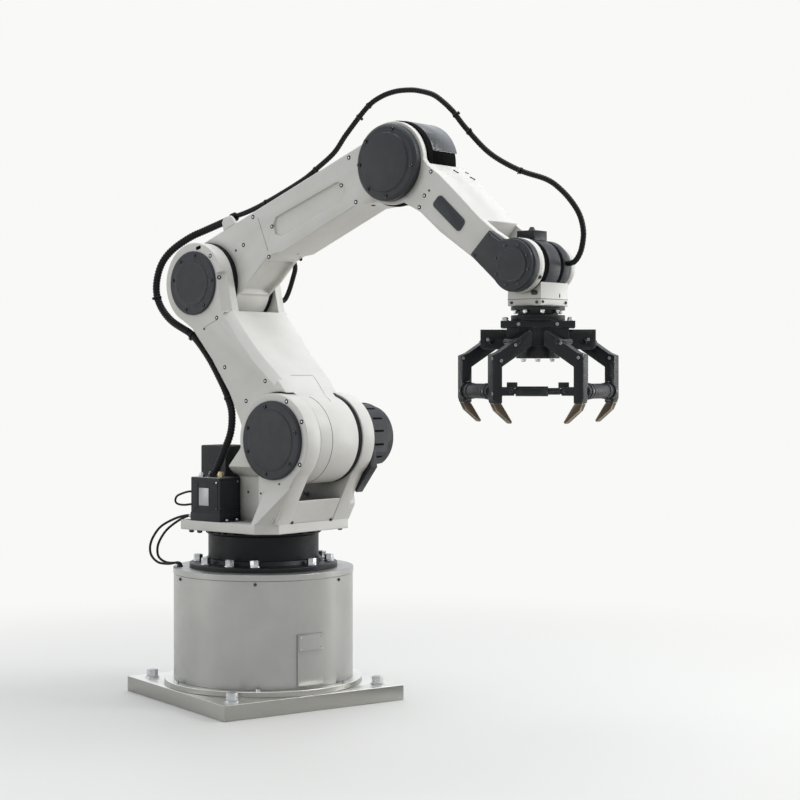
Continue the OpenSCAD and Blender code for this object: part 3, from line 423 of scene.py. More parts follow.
def round_edges(piece, width, angle=ROUND_FROM, segments=3):
    """Rounds every edge sharper than angle and keeps the flat faces flat."""
    bevel = piece.modifiers.new("rounded edges", "BEVEL")
    bevel.width = width
    bevel.segments = segments
    bevel.limit_method = "ANGLE"
    bevel.angle_limit = math.radians(angle)
    bevel.use_clamp_overlap = True
    bevel.harden_normals = True
    bevel.miter_outer = "MITER_ARC"
    return piece


def bevel_edges(bm, edges, width, segments=2):
    """Bevels edges of a bmesh with a round section."""
    bmesh.ops.bevel(
        bm, geom=edges, offset=width, segments=segments, profile=0.5, affect="EDGES", material=-1, clamp_overlap=True
    )


def dress(node, finish, width, segments=3, corner=0.0):
    """A merged copy of a CAD node with rounded edges, which stands for it; corner rounds the edges along Y first.

    Walls that lie inside the solid come twice and are left out; a short edge is rounded less than a long one.
    """
    source = frame["nodes"][node]
    bm = bmesh.new()
    bm.from_mesh(source.data)
    seen = {}
    for face in bm.faces:
        seen.setdefault(frozenset(tuple(round(c * 1e5) for c in v.co) for v in face.verts), []).append(face)
    inner = [face for group in seen.values() if len(group) > 1 for face in group]
    bmesh.ops.delete(bm, geom=inner, context="FACES")
    near = min(0.0003, width / 8)
    bmesh.ops.remove_doubles(bm, verts=bm.verts, dist=near)
    bmesh.ops.dissolve_degenerate(bm, dist=near, edges=bm.edges)
    bmesh.ops.dissolve_limit(bm, angle_limit=math.radians(0.6), verts=bm.verts, edges=bm.edges)
    if corner:
        upright = [e for e in bm.edges if abs((e.verts[0].co - e.verts[1].co).normalized().y) > 0.99]
        bevel_edges(bm, upright, corner, 6)
    weights = bm.edges.layers.float.new("bevel_weight_edge")
    for edge in bm.edges:
        if len(edge.link_faces) == 2 and edge.calc_face_angle(0.0) > math.radians(ROUND_FROM):
            shortest = min(other.calc_length() for v in edge.verts for other in v.link_edges)
            edge[weights] = min(1.0, 0.35 * shortest / width)
    piece = keep(node + "_finished", bm, finish, source["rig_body"])
    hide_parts(node)
    bevel = round_edges(piece, width, segments=segments).modifiers[0]
    bevel.limit_method = "WEIGHT"
    bevel.use_clamp_overlap = False
    return piece


def spin_round(bm, profile, steps):
    """Fills an empty bmesh with a closed profile of (radius, height) in millimetres, spun round the Z axis."""
    verts = [bm.verts.new((r / 1000, 0.0, z / 1000)) for r, z in profile]
    edges = [bm.edges.new((a, b)) for a, b in zip(verts, verts[1:] + verts[:1]) if a.co.x > 0 or b.co.x > 0]
    bmesh.ops.spin(
        bm,
        geom=verts + edges,
        cent=(0, 0, 0),
        axis=(0, 0, 1),
        dvec=(0, 0, 0),
        angle=math.tau,
        steps=steps,
        use_merge=True,
        use_duplicate=False,
    )
    bmesh.ops.remove_doubles(bm, verts=bm.verts, dist=SAME)
    bmesh.ops.recalc_face_normals(bm, faces=bm.faces)


def spin_piece(node, profile, finish, width):
    """A turned piece that stands for a CAD node, spun round the slewing axis."""
    bm = bmesh.new()
    spin_round(bm, profile, 160)
    piece = keep(node + "_finished", bm, finish, frame["nodes"][node]["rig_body"])
    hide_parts(node)
    return round_edges(piece, width, 20.0, 3)


def turned(out, at, spin=0.0):
    """The matrix that sets a template with its foot at a point and its Z along out."""
    quaternion = Vector((0, 0, 1)).rotation_difference(Vector(out).normalized())
    return Matrix.Translation(Vector(at)) @ quaternion.to_matrix().to_4x4() @ Matrix.Rotation(spin, 4, "Z")


def scatter(name, make, places, finish, body):
    """One object that holds a template at every place. make fills a bmesh; places are matrices."""
    template = bmesh.new()
    make(template)
    shape = bpy.data.meshes.new("template")
    template.to_mesh(shape)
    template.free()
    bm = bmesh.new()
    for matrix in places:
        before = len(bm.verts)
        bm.from_mesh(shape)
        bm.verts.ensure_lookup_table()
        bmesh.ops.transform(bm, matrix=matrix, verts=bm.verts[before:])
    bpy.data.meshes.remove(shape)
    piece = keep(name, bm, finish, body)
    piece.data.set_sharp_from_angle(angle=math.radians(SHARP_FROM))
    return piece


def disc(bm, radius, low, high, sides=24, chamfer=0.0):
    """A round or many-sided block from low to high with a chamfered top edge. Gives its top face."""
    made = bmesh.ops.create_cone(
        bm,
        cap_ends=True,
        cap_tris=False,
        segments=sides,
        radius1=radius,
        radius2=radius,
        depth=high - low,
        matrix=Matrix.Translation((0, 0, (high + low) / 2)),
    )
    faces = {f for v in made["verts"] for f in v.link_faces}
    top = max(faces, key=lambda f: f.calc_center_median().z)
    if chamfer:
        bevel_edges(bm, list(top.edges), chamfer)
        top = max(bm.faces, key=lambda f: f.calc_center_median().z)
    return top


def socket_screw(width, height, sink=SEAT):
    """Socket head cap screw: round head, chamfered rim, hexagonal key hole."""

    def make(bm):
        top = disc(bm, width / 2, -sink, height, 24, width * 0.07)
        bmesh.ops.inset_individual(bm, faces=[top], thickness=width * 0.17, depth=0.0)
        for vertex in top.verts:
            turn = math.atan2(vertex.co.y, vertex.co.x) % (math.pi / 3) - math.pi / 6
            reach = width * 0.25 / math.cos(turn)
            here = Vector((vertex.co.x, vertex.co.y)).normalized() * reach
            vertex.co.x, vertex.co.y = here
        bmesh.ops.inset_individual(bm, faces=[top], thickness=width * 0.015, depth=-min(height, width * 0.35) * 0.8)

    return make


def hex_bolt(across, height, washer):
    """Hexagon head on a flat washer, with the head's corners turned off."""

    def make(bm):
        disc(bm, washer / 2, -SEAT, 0.0035, 28, 0.0006)
        disc(bm, across / 2 / math.cos(math.pi / 6), 0.0033, height, 6, 0.0018)
        disc(bm, across * 0.40, height - 0.001, height + 0.0012, 24, 0.0009)

    return make


def dimple(width):
    """The mouth of a small tapped hole as a thin black ringed disc: painted shade for the hole."""

    def make(bm):
        depth = 0.0006
        top = disc(bm, width / 2, -0.001, depth, 20, depth * 0.6)
        bmesh.ops.inset_individual(bm, faces=[top], thickness=width * 0.16, depth=-depth * 0.5)

    return make


def stadium(length, width, low, high, chamfer=0.0004):
    """A slot-shaped block: a disc stretched along X by moving its halves apart."""

    def make(bm):
        disc(bm, width / 2, low, high, 24, chamfer)
        for vertex in bm.verts:
            vertex.co.x += math.copysign((length - width) / 2, vertex.co.x)

    return make


def slab(low, high, width):
    """A rounded block between two corners, in millimetres."""

    def make(bm):
        start, end = metres((low, high))
        made = bmesh.ops.create_cube(bm, size=1.0)
        shape = Matrix.Translation((start + end) / 2) @ Matrix.Diagonal((*(end - start), 1.0))
        bmesh.ops.transform(bm, matrix=shape, verts=made["verts"])
        bevel_edges(bm, list({e for v in made["verts"] for e in v.link_edges}), width / 1000)

    return make


def several(*makers):
    """One template made of several."""

    def make(bm):
        for maker in makers:
            maker(bm)

    return make


def smooth_line(points, per_stretch):
    """Points on the curve through all of them, the same curve that the solid hoses follow."""
    line = []
    count = len(points)
    for i in range(count - 1):
        before = points[i - 1] if i else points[0] * 2 - points[1]
        after = points[i + 2] if i + 2 < count else points[-1] * 2 - points[-2]
        a, b = points[i], points[i + 1]
        for k in range(per_stretch):
            t = k / per_stretch
            slope = b - before
            bend = 2 * before - 5 * a + 4 * b - after
            twist = 3 * a - before - 3 * b + after
            line.append(0.5 * (2 * a + slope * t + bend * t * t + twist * t * t * t))
    line.append(points[-1].copy())
    return line


def even_line(line, step):
    """The same line with its points one step apart."""
    runs = [0.0]
    for a, b in zip(line, line[1:]):
        runs.append(runs[-1] + (b - a).length)
    count = max(2, round(runs[-1] / step))
    even, k = [], 0
    for i in range(count + 1):
        goal = runs[-1] * i / count
        while k < len(runs) - 2 and runs[k + 1] < goal:
            k += 1
        share = (goal - runs[k]) / max(runs[k + 1] - runs[k], 1e-9)
        even.append(line[k].lerp(line[k + 1], min(1.0, share)))
    return even


def frames_along(line):
    """For every point the matrix whose Z runs along the line, without twist."""
    frames, quaternion, last = [], None, None
    for i, point in enumerate(line):
        ahead = (line[min(i + 1, len(line) - 1)] - line[max(i - 1, 0)]).normalized()
        if quaternion is None:
            quaternion = Vector((0, 0, 1)).rotation_difference(ahead)
        else:
            quaternion = last.rotation_difference(ahead) @ quaternion
        last = ahead
        frames.append(Matrix.Translation(point) @ quaternion.to_matrix().to_4x4())
    return frames


def tube(bm, frames, radii, sides):
    """A closed tube through the frames: a circle at each, bridged to the next."""
    rings = []
    for matrix, radius in zip(frames, radii):
        made = bmesh.ops.create_circle(bm, cap_ends=False, segments=sides, radius=radius, matrix=matrix)
        rings.append(list({e for v in made["verts"] for e in v.link_edges}))
    for a, b in zip(rings, rings[1:]):
        bmesh.ops.bridge_loops(bm, edges=a + b)
    for ring in (rings[0], rings[-1]):
        bmesh.ops.contextual_create(bm, geom=ring)
    bmesh.ops.recalc_face_normals(bm, faces=bm.faces)


def bead(name, points, width, body, closed=False):
    """A thin bead of sealant along a seam, half sunk in the face it lies on."""
    line = metres(points)
    if closed:
        line.append(line[0].copy())
    bm = bmesh.new()
    tube(bm, frames_along(line), [width / 2] * len(line), 6)
    return keep(name, bm, "seam", body)


def screw_places(spots):
    """Each screw's place, with its key hole turned a little further; a spot in mm may carry its own outward way."""
    places = []
    for i, (x, y, z, *way) in enumerate(spots):
        places.append(turned(way[0] if way else NEAR, Vector((x, y, z)) / 1000, i * 0.37))
    return places


def screws_on(name, spots, width, height, body, finish="oxide"):
    """Socket screws that stand on a face; width and height in millimetres."""
    return scatter(name, socket_screw(width / 1000, height / 1000), screw_places(spots), finish, body)


def sunk_screws(name, spots, width, body):
    """Bright socket screws that sit low in counterbores, whose shade is painted as black discs."""
    places = screw_places(spots)
    scatter(name + "_bores", dimple(width * 1.1 / 1000), places, "void", body)
    return scatter(name, socket_screw(width * 0.52 / 1000, 0.0017, 0.0005), places, "zinc", body)


def shaft_end(node, centre):
    """On the far end of a shaft a turned step, a centre hole and six screws."""
    body = frame["nodes"][node]["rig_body"]
    places = [v.co for v in frame["nodes"][node].data.vertices]
    radius = (max(p.x for p in places) - min(p.x for p in places)) / 2
    face = max(p.y for p in places)
    at = turned(FAR, (centre[0] / 1000, face, centre[1] / 1000))
    scatter(node + "_step", raised_disc(radius * 0.86, 0.0025), [at], "zinc", body)
    scatter(node + "_centre", ring_boss(radius * 0.5, radius * 0.22, 0.0035), [at], "zinc", body)
    spots = [(*s, FAR) for s in round_spots(centre, radius * 630, range(30, 390, 60), face * 1000 + 1.4)]
    return screws_on(node + "_screws", spots, radius * 170, 3.0, body)


def round_spots(centre, radius, angles, y):
    """Spots in millimetres on a circle about a joint's axis, angles in degrees from X towards Z."""
    return [
        (centre[0] + radius * math.cos(math.radians(a)), y, centre[1] + radius * math.sin(math.radians(a)))
        for a in angles
    ]


def in_tool(x, y, z):
    """A place given in the gripper's own turned axes, in metres of the whole model."""
    c, s = math.cos(TOOL_TURN), math.sin(TOOL_TURN)
    return Vector((WRIST[0] + x * c - y * s, x * s + y * c, z)) / 1000


def in_jaw(side, x, y, z):
    """A place given along a jaw: x outwards, y along its pins, z up from them; side is -1 or 1."""
    c, s = math.cos(JAW_SPLAY), math.sin(JAW_SPLAY)
    return in_tool(side * (72 + x * c + y * s), -110 - x * s + y * c, 1294 + z)


# ---------------------------------------------------------------- hoses

ROUTES = {
    "hose_low": [(-64, -187, 813.3), (-64, -187, 825.3), (-52, -185, 850), (-24, -182, 905), (2, -172, 978),
                 (-5, -160, 1050), (-34, -152, 1108)],
    "hose_arm": [(-35, -152, 1110), (-68, -150, 1160), (-131, -148, 1243), (-200, -145, 1311), (-245, -142, 1341)],
    "hose_elbow": [(-247, -142, 1342), (-351, -140, 1391), (-415, -138, 1453), (-436, -135, 1520),
                   (-417, -130, 1597), (-376, -114, 1653), (-302, -90, 1701), (-232, -68, 1729), (-128, -57, 1760)],
    "hose_upper": [(-124, -57, 1761), (-91, -55, 1772), (-28, -52, 1787), (38, -50, 1807), (140, -50, 1843),
                   (244, -50, 1884), (294, -45, 1912)],
    "hose_arch": [(296, -45, 1914), (384, -38, 1972), (438, -30, 2036), (523, -20, 2121), (578, -14, 2153),
                  (641, -8, 2168), (704, -2, 2168), (750, 2, 2160), (804, 6, 2142), (849, 10, 2110),
                  (885, 14, 2077)],
    "hose_wrist": [(886, 14, 2075), (934, 22, 2016), (1019, 38, 1930), (1125, 55, 1868), (1231, 66, 1830),
                   (1284, 70, 1795), (1330, 70, 1750), (1362, 70, 1703), (1377, 68, 1650), (1375, 62, 1600),
                   (1368, 52, 1569), (1353, 46, 1551), (1330.3, 45, 1548)],
    "hose_short": [(2, 85.5, 1630), (2, 100, 1630), (4, 140, 1625), (-5, 175, 1592), (-33, 190, 1545),
                   (-58, 193, 1495), (-70, 184, 1468), (-70, 165.5, 1468)],
    "cable_outer": [(-145.3, -222, 670), (-180, -222, 669), (-240, -223, 654), (-312, -224, 622),
                    (-352, -226, 582), (-368, -228, 545), (-358, -231, 512), (-318, -234, 489),
                    (-262, -236, 487), (-218, -237, 494), (-203, -237, 490), (-203, -237, 480.3)],
    "cable_inner": [(-145.3, -202, 670), (-180, -202, 668), (-236, -203, 648), (-296, -206, 612),
                    (-330, -210, 574), (-344, -213, 540), (-334, -217, 508), (-296, -220, 491),
                    (-252, -222, 490), (-222, -223, 494), (-206, -223, 490), (-206, -223, 480.3)],
    "box_loop": [(-141.3, -215, 757), (-170, -215, 757), (-205, -215, 749), (-236, -215, 737),
                 (-247, -213, 719), (-236, -211, 708), (-203, -210, 706), (-168, -209, 710), (-141.3, -208, 711)],
}

# name: CAD node, diameter in mm, body or pair of bodies, ends of the bend in mm, stiffness, ribbed
HOSES = {
    "hose_low": ("hose_low", 28, ("turntable", "lower_arm"), ((-60, -187, 830), (-30, -153, 1090)), "stiff", True),
    "hose_arm": ("hose_arm", 28, "lower_arm", None, "stiff", True),
    "hose_elbow": (
        "hose_elbow", 28, ("lower_arm", "upper_arm"), ((-300, -142, 1362), (-220, -66, 1735)), "stiff", True
    ),
    "hose_upper": ("hose_upper", 19, "upper_arm", None, "stiff", True),
    "hose_arch": ("hose_arch", 19, ("upper_arm", "forearm"), ((310, -45, 1922), (870, 12, 2090)), "stiff", True),
    "hose_wrist": ("hose_wrist", 19, ("forearm", "wrist"), ((1019, 38, 1930), (1345, 45, 1550)), "stiff", True),
    "hose_short": ("hose_short", 19, ("upper_arm", "lower_arm"), ((4, 110, 1630), (-66, 185, 1475)), "stiff", True),
    "cable_outer": ("cables", 9, ("turntable", "base"), ((-200, -222, 665), (-250, -236, 490)), "medium", False),
    "cable_inner": ("cables", 9, ("turntable", "base"), ((-200, -202, 662), (-250, -222, 492)), "medium", False),
    "box_loop": ("box_loop", 8, "turntable", None, "medium", False),
}

# the hose that a strap holds and a point in mm near its place on it
STRAPS = [
    ("hose_low", (-30, -153, 1100)),
    ("hose_arm", (-228, -144, 1330)),
    ("hose_elbow", (-424, -137, 1478)),
    ("hose_upper", (60, -50, 1814)),
    ("hose_arch", (304, -45, 1919)),
    ("hose_arch", (492, -24, 2090)),
    ("hose_arch", (532, -19, 2126)),
    ("hose_wrist", (893, 15, 2066)),
    ("hose_wrist", (944, 24, 2005)),
    ("hose_wrist", (1134, 56, 1865)),
]


def follow(piece, bodies):
    """The piece rides on its body; one that runs between two bodies is fixed in place and rides on neither."""
    if isinstance(bodies, str):
        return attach(piece, bodies)
    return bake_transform(piece)


def strap_shape(radius):
    """A cable tie: a flat band round the hose and its lock with the cut tail."""

    def make(bm):
        half = radius * 1000
        spin_round(bm, [(half, -3.0), (half + 1.8, -3.0), (half + 1.8, 3.0), (half, 3.0)], 28)
        slab((half - 0.5, -4.2, -4.2), (half + 6.0, 4.2, 4.2), 0.8)(bm)
        slab((half + 0.8, 3.0, -2.2), (half + 2.0, 13.0, 2.2), 0.3)(bm)

    return make


class ARM_OT_hoses(bpy.types.Operator):
    """Makes the ribbed hoses, the thin cables and the straps that hold them"""

    bl_idname = "arm.hoses"
    bl_label = "Hoses and cables"

    def execute(self, context):
        pitch = context.scene.arm_sizes.hose_rib
        for name, (node, width, bodies, bend, stiffness, ribbed) in HOSES.items():
            radius = width / 2000
            line = even_line(smooth_line(metres(ROUTES[name]), 16), pitch / 4 if ribbed else 0.006)
            frames = frames_along(line)
            groove = 1.0 if not ribbed else 0.89 if width > 20 else 0.94
            bm = bmesh.new()
            tube(bm, frames, [radius * (groove if i % 4 > 1 else 1.0) for i in range(len(line))], 20 if ribbed else 14)
            piece = keep(name + "_finished", bm, "hose")
            follow(piece, bodies)
            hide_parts(node)
            for k, (owner, near) in enumerate(STRAPS):
                if owner != name:
                    continue
                spot = min(frames, key=lambda m: (m.translation - Vector(near) / 1000).length)
                template = bmesh.new()
                strap_shape(radius + 0.0002)(template)
                bmesh.ops.transform(template, matrix=spot @ Matrix.Rotation(2.2 + k, 4, "Z"), verts=template.verts)
                strap = keep(f"strap_{k + 1}", template, "strap")
                strap.data.set_sharp_from_angle(angle=math.radians(SHARP_FROM))
                follow(strap, bodies)
            path = [tuple(p) for p in line[:: max(1, len(line) // 60)]]
            if (Vector(path[-1]) - line[-1]).length > 1e-6:
                path.append(tuple(line[-1]))
        return {"FINISHED"}


# ---------------------------------------------------------------- stage

STUDIO_WHITE = "#F9F9F7"

# name: place, point it is aimed at, size in metres, power in watts
LIGHTS = {
    "key": ((4.6, 2.2, 4.4), (0.4, 0.0, 1.1), (2.2, 2.2), 122.0),
    "sky": ((0.2, 0.4, 5.6), (0.4, 0.0, 0.6), (4.0, 4.0), 115.0),
    "fill": ((-3.4, -5.0, 1.9), (0.2, 0.0, 1.0), (3.0, 3.0), 36.0),
    "edge": ((3.4, 4.2, 1.6), (0.2, 0.0, 0.8), (0.6, 2.6), 45.0),
}


class ARM_OT_stage(bpy.types.Operator):
    """Sets the camera, the pale floor and the studio lights"""

    bl_idname = "arm.stage"
    bl_label = "Stage"

    def execute(self, context):
        scene = context.scene
        lens = bpy.data.cameras.new("camera")
        lens.lens, lens.sensor_width, lens.shift_y = 81.0, 36.0, -29 / 800
        camera = bpy.data.objects.new("camera", lens)
        camera.location = (4.668, -4.778, 1.199)
        camera.rotation_euler = (math.radians(90), 0.0, math.radians(40))
        scene.collection.objects.link(camera)
        scene.camera = camera
        scene.world = self.studio()
        scene.collection.objects.link(self.floor())
        for name, (place, aim, size, power) in LIGHTS.items():
            lamp = bpy.data.lights.new(name, "AREA")
            lamp.shape = "RECTANGLE"
            lamp.size, lamp.size_y = size
            lamp.energy = power
            holder = bpy.data.objects.new(name, lamp)
            holder.location = place
            holder.rotation_euler = (Vector(aim) - Vector(place)).to_track_quat("-Z", "Y").to_euler()
            scene.collection.objects.link(holder)
        return {"FINISHED"}

    def studio(self):
        """The room's light: brightest on the wall that faces the front, dim low down and past a dark card."""
        world = bpy.data.worlds.new("studio")
        world.use_nodes = True
        tree = world.node_tree
        tree.nodes.clear()
        way = add(tree, "TexCoord").outputs["Generated"]
        height = add(tree, "SeparateXYZ", (0, way)).outputs["Z"]
        strengths = []
        for toward, start, end, low, high in (
            ((-0.643, 0.766, 0.0), 0.05, 0.75, 0.64, 1.0),
            ((0.9, 0.43, 0.0), 0.72, 0.95, 1.0, 0.35),
        ):
            facing = add(tree, "VectorMath", ("operation", "DOT_PRODUCT"), (0, way), (1, toward))
            eased = add(
                tree,
                "MapRange",
                ("interpolation_type", "SMOOTHSTEP"),
                ("From Min", start),
                ("From Max", end),
                ("To Min", low),
                ("To Max", high),
                ("Value", facing.outputs["Value"]),
            )
            strengths.append(eased.outputs["Result"])
        below = add(
            tree,
            "MapRange",
            ("interpolation_type", "SMOOTHSTEP"),
            ("From Min", 0.05),
            ("From Max", -0.25),
            ("Value", height),
        ).outputs["Result"]
        kind = add(tree, "LightPath").outputs
        soft = add(tree, "Math", ("operation", "MULTIPLY_ADD"), (0, kind["Is Diffuse Ray"]), (1, -0.22), (2, 1.0))
        power = add(tree, "Math", ("operation", "MULTIPLY"), (0, strengths[0]), (1, strengths[1])).outputs["Value"]
        power = add(tree, "Math", ("operation", "MULTIPLY"), (0, power), (1, soft.outputs["Value"])).outputs["Value"]
        around = add(tree, "Background", ("Color", "#F4F7FB"), ("Strength", power)).outputs[0]
        bounce = add(tree, "Background", ("Color", "#F6F2E9"), ("Strength", 0.36)).outputs[0]
        light = add(tree, "MixShader", (0, below), (1, around), (2, bounce)).outputs[0]
        seen = add(tree, "Background", ("Color", STUDIO_WHITE), ("Strength", 1.0)).outputs[0]
        which = add(tree, "MixShader", (0, kind["Is Camera Ray"]), (1, light), (2, seen)).outputs[0]
        add(tree, "OutputWorld", ("Surface", which))
        return world

    def floor(self):
        """A wide pale floor that glows away from the arm, so it runs into the background without a line."""
        bm = bmesh.new()
        bmesh.ops.create_circle(bm, cap_ends=True, segments=96, radius=60.0)
        mesh = bpy.data.meshes.new("floor")
        bm.to_mesh(mesh)
        bm.free()
        floor = bpy.data.objects.new("floor", mesh)
        floor.location = (0.3, 0.0, -0.0005)
        floor.visible_diffuse = False
        material, tree, shader, place = begin("studio floor")
        shader.inputs["Base Color"].default_value = linear("#E6E6E3")
        shader.inputs["Roughness"].default_value = 0.6
        far = add(tree, "VectorMath", ("operation", "LENGTH"), (0, place)).outputs["Value"]
        share = add(
            tree, "MapRange", ("interpolation_type", "SMOOTHSTEP"), ("From Min", 0.9), ("From Max", 3.4), ("Value", far)
        ).outputs["Result"]
        glow = add(tree, "Emission", ("Color", STUDIO_WHITE), ("Strength", 1.0)).outputs[0]
        both = add(tree, "MixShader", (0, share), (1, shader.outputs["BSDF"]), (2, glow)).outputs[0]
        out = next(n for n in tree.nodes if n.type == "OUTPUT_MATERIAL")
        tree.links.new(both, out.inputs["Surface"])
        mesh.materials.append(material)
        return floor


# ---------------------------------------------------------------- base


class ARM_OT_base(bpy.types.Operator):
    """Finishes the floor plate, the pedestal and the bearing ring with their bolts"""

    bl_idname = "arm.base"
    bl_label = "Base and pedestal"

    def execute(self, context):
        sizes = context.scene.arm_sizes
        dress("base_plate", "ground", 0.0016, segments=2)
        spin_piece("foot_flange", [(316, 55), (364, 55), (364, 75), (316, 75)], "ground", 0.003)
        spin_piece("pedestal_shell", [(316, 75), (330, 75), (330, 458), (316, 458)], "pedestal", 0.0015)
        spin_piece("pedestal_lid", [(125, 458), (332, 458), (332, 480), (125, 480)], "pedestal", 0.0025)
        dress("access_cover", "pedestal", 0.0008, segments=2)
        ring = [(125, 480), (272.5, 480), (272.5, 495.3), (264.5, 498.7), (217.5, 498.7), (211.5, 514), (125, 514)]
        spin_piece("bearing_ring", ring, "black", 0.0015)

        turn = Matrix.Rotation(PLATE_TURN, 4, "Z")
        corners = [turn @ Vector((x, y, 55.0)) / 1000 for x in (-303.5, 303.5) for y in (-303.5, 303.5)]
        anchors = [turned(UP, at, 0.3 + i) for i, at in enumerate(corners)]
        scatter("anchor_bolts", hex_bolt(sizes.anchor_bolt, 0.029, 0.052), anchors, "zinc", "base")
        spots = []
        for k in (0, 40, 93, 116, 145, 180, 220, 250, 275, 300, 330):
            a = math.radians(40 - k)
            spots.append(turned(UP, (0.242 * math.cos(a), 0.242 * math.sin(a), 0.4987), a * 1.7))
        scatter("ring_bolts", hex_bolt(sizes.ring_bolt, 0.024, 0.037), spots, "zinc", "base")
        around = [math.radians(-50.8 + 60 * k) for k in range(6)]
        rim = [(330 * math.cos(a), 330 * math.sin(a), 447, (math.cos(a), math.sin(a), 0)) for a in around]
        screws_on("lid_screws", rim, 11, 4, "base")
        foot = [(347.5 * math.cos(a + 0.03), 347.5 * math.sin(a + 0.03), 75, UP) for a in around]
        screws_on("foot_screws", foot, 15, 9, "base", "zinc")
        self.cover_plate()
        return {"FINISHED"}

    def cover_plate(self):
        """The small upper plate of the access cover, bent to its round, with its four screws."""
        bm = bmesh.new()
        low, high, half, radius = 0.209, 0.262, 0.050, 0.3353
        made = bmesh.ops.create_grid(bm, x_segments=16, y_segments=1, size=1.0)
        for vertex in made["verts"]:
            a = vertex.co.x * half / radius
            z = (low + high) / 2 + vertex.co.y * (high - low) / 2
            vertex.co = (radius * math.cos(a), radius * math.sin(a), z)
        bmesh.ops.recalc_face_normals(bm, faces=bm.faces)
        if sum(f.normal.x for f in bm.faces) < 0:
            bmesh.ops.reverse_faces(bm, faces=bm.faces)
        bmesh.ops.transform(bm, matrix=Matrix.Rotation(PLATE_TURN, 4, "Z"), verts=bm.verts)
        plate = keep("cover_plate", bm, "pedestal", "base")
        thick = plate.modifiers.new("plate thickness", "SOLIDIFY")
        thick.thickness = 0.0022
        thick.offset = 1.0
        round_edges(plate, 0.0006, 40.0, 2)
        spots = []
        for y in (-43, 43):
            for z in (215, 256):
                a = PLATE_TURN + y / 335
                out = (math.cos(a), math.sin(a), 0)
                spots.append((337.4 * out[0], 337.4 * out[1], z, out))
        screws_on("cover_screws", spots, 7.5, 2.2, "base", "zinc")


# ---------------------------------------------------------------- turntable and shoulder


class ARM_OT_turntable(bpy.types.Operator):
    """Finishes the turntable casting, its drum and the screws on it"""

    bl_idname = "arm.turntable"
    bl_label = "Turntable"

    def execute(self, context):
        sizes = context.scene.arm_sizes
        boss = [(0, 474), (124.6, 474), (124.6, 514.4), (203.5, 514.4)]
        drum = boss + [(203.5, 600), (212.5, 606), (212.5, 620), (0, 620)]
        spin_piece("slew_drum", drum, "drum", 0.0014)
        dress("turntable", "table", sizes.casting_edge)
        spots = [(305, -198, 1092), (378, -198, 1022), (369, -198, 872), (203, -199, 768)]
        sunk_screws("ear_screws", spots, 15, "turntable")
        pins = [(180, -198, 764), (270, -198, 801), (57.6, -138, 761)]
        screws_on("ear_pins", pins, 8, 1.6, "turntable")
        front = (0.89, 0, -0.46)
        spots = [(254.6, -116.6, 659, front), (254.8, 88, 657, front), (-150, 205, 655, UP), (-60, 205, 655, UP)]
        screws_on("table_screws", spots, 12, 3, "turntable")
        screws_on("well_screw", [(125, 97, 750)], 17, 9, "turntable", "zinc")
        foot = [turned(NEAR, (0.236, -0.2055, 0.672))]
        scatter("foot_boss", ring_boss(0.024, 0.014, 0.004), foot, "casting", "turntable")
        scatter("drum_bolts", hex_bolt(0.017, 0.010, 0.020), edge_bolts(), "oxide", "turntable")
        notches, heads = [], []
        for k in range(18):
            a = math.radians(-50 + 20 * k)
            out = Vector((math.cos(a), math.sin(a), 0))
            at = (0.2126 * out.x, 0.2126 * out.y, 0.6135)
            lay = Matrix((Vector((-out.y, out.x, 0)), Vector(UP), out)).transposed().to_4x4()
            notches.append(Matrix.Translation(at) @ lay)
            if k % 3 == 1:
                heads.append(turned(out, at, a))
        scatter("lip_notches", stadium(0.046, 0.008, -0.002, 0.0006), notches, "void", "turntable")
        scatter("lip_screws", socket_screw(0.009, 0.0016), heads, "oxide", "turntable")
        return {"FINISHED"}


def sleeve(radius, low, high):
    """A round length of sleeve with both rims chamfered."""

    def make(bm):
        start = len(bm.verts)
        disc(bm, radius, low, high, 36)
        bm.verts.ensure_lookup_table()
        verts = bm.verts[start:]
        rims = [e for e in {e for v in verts for e in v.link_edges} if abs(e.verts[0].co.z - e.verts[1].co.z) < 1e-6]
        bevel_edges(bm, rims, 0.0008)

    return make


def edge_bolts():
    """Bolt heads that hang under the turntable's plate near its corners."""
    spots = [(-150, -222), (-108, -222), (-150, 222), (-60, 222), (110, 222), (200, 200)]
    return [turned(DOWN, (x / 1000, y / 1000, 0.620), 0.4 * i) for i, (x, y) in enumerate(spots)]


def ring_boss(outer, inner, height):
    """A raised ring with a hole down its middle."""

    def make(bm):
        top = disc(bm, outer / 2, -0.003, height, 28, 0.001)
        bmesh.ops.inset_individual(bm, faces=[top], thickness=(outer - inner) / 2 - 0.001, depth=0.0)
        bmesh.ops.inset_individual(bm, faces=[top], thickness=0.0004, depth=-height * 1.2)

    return make


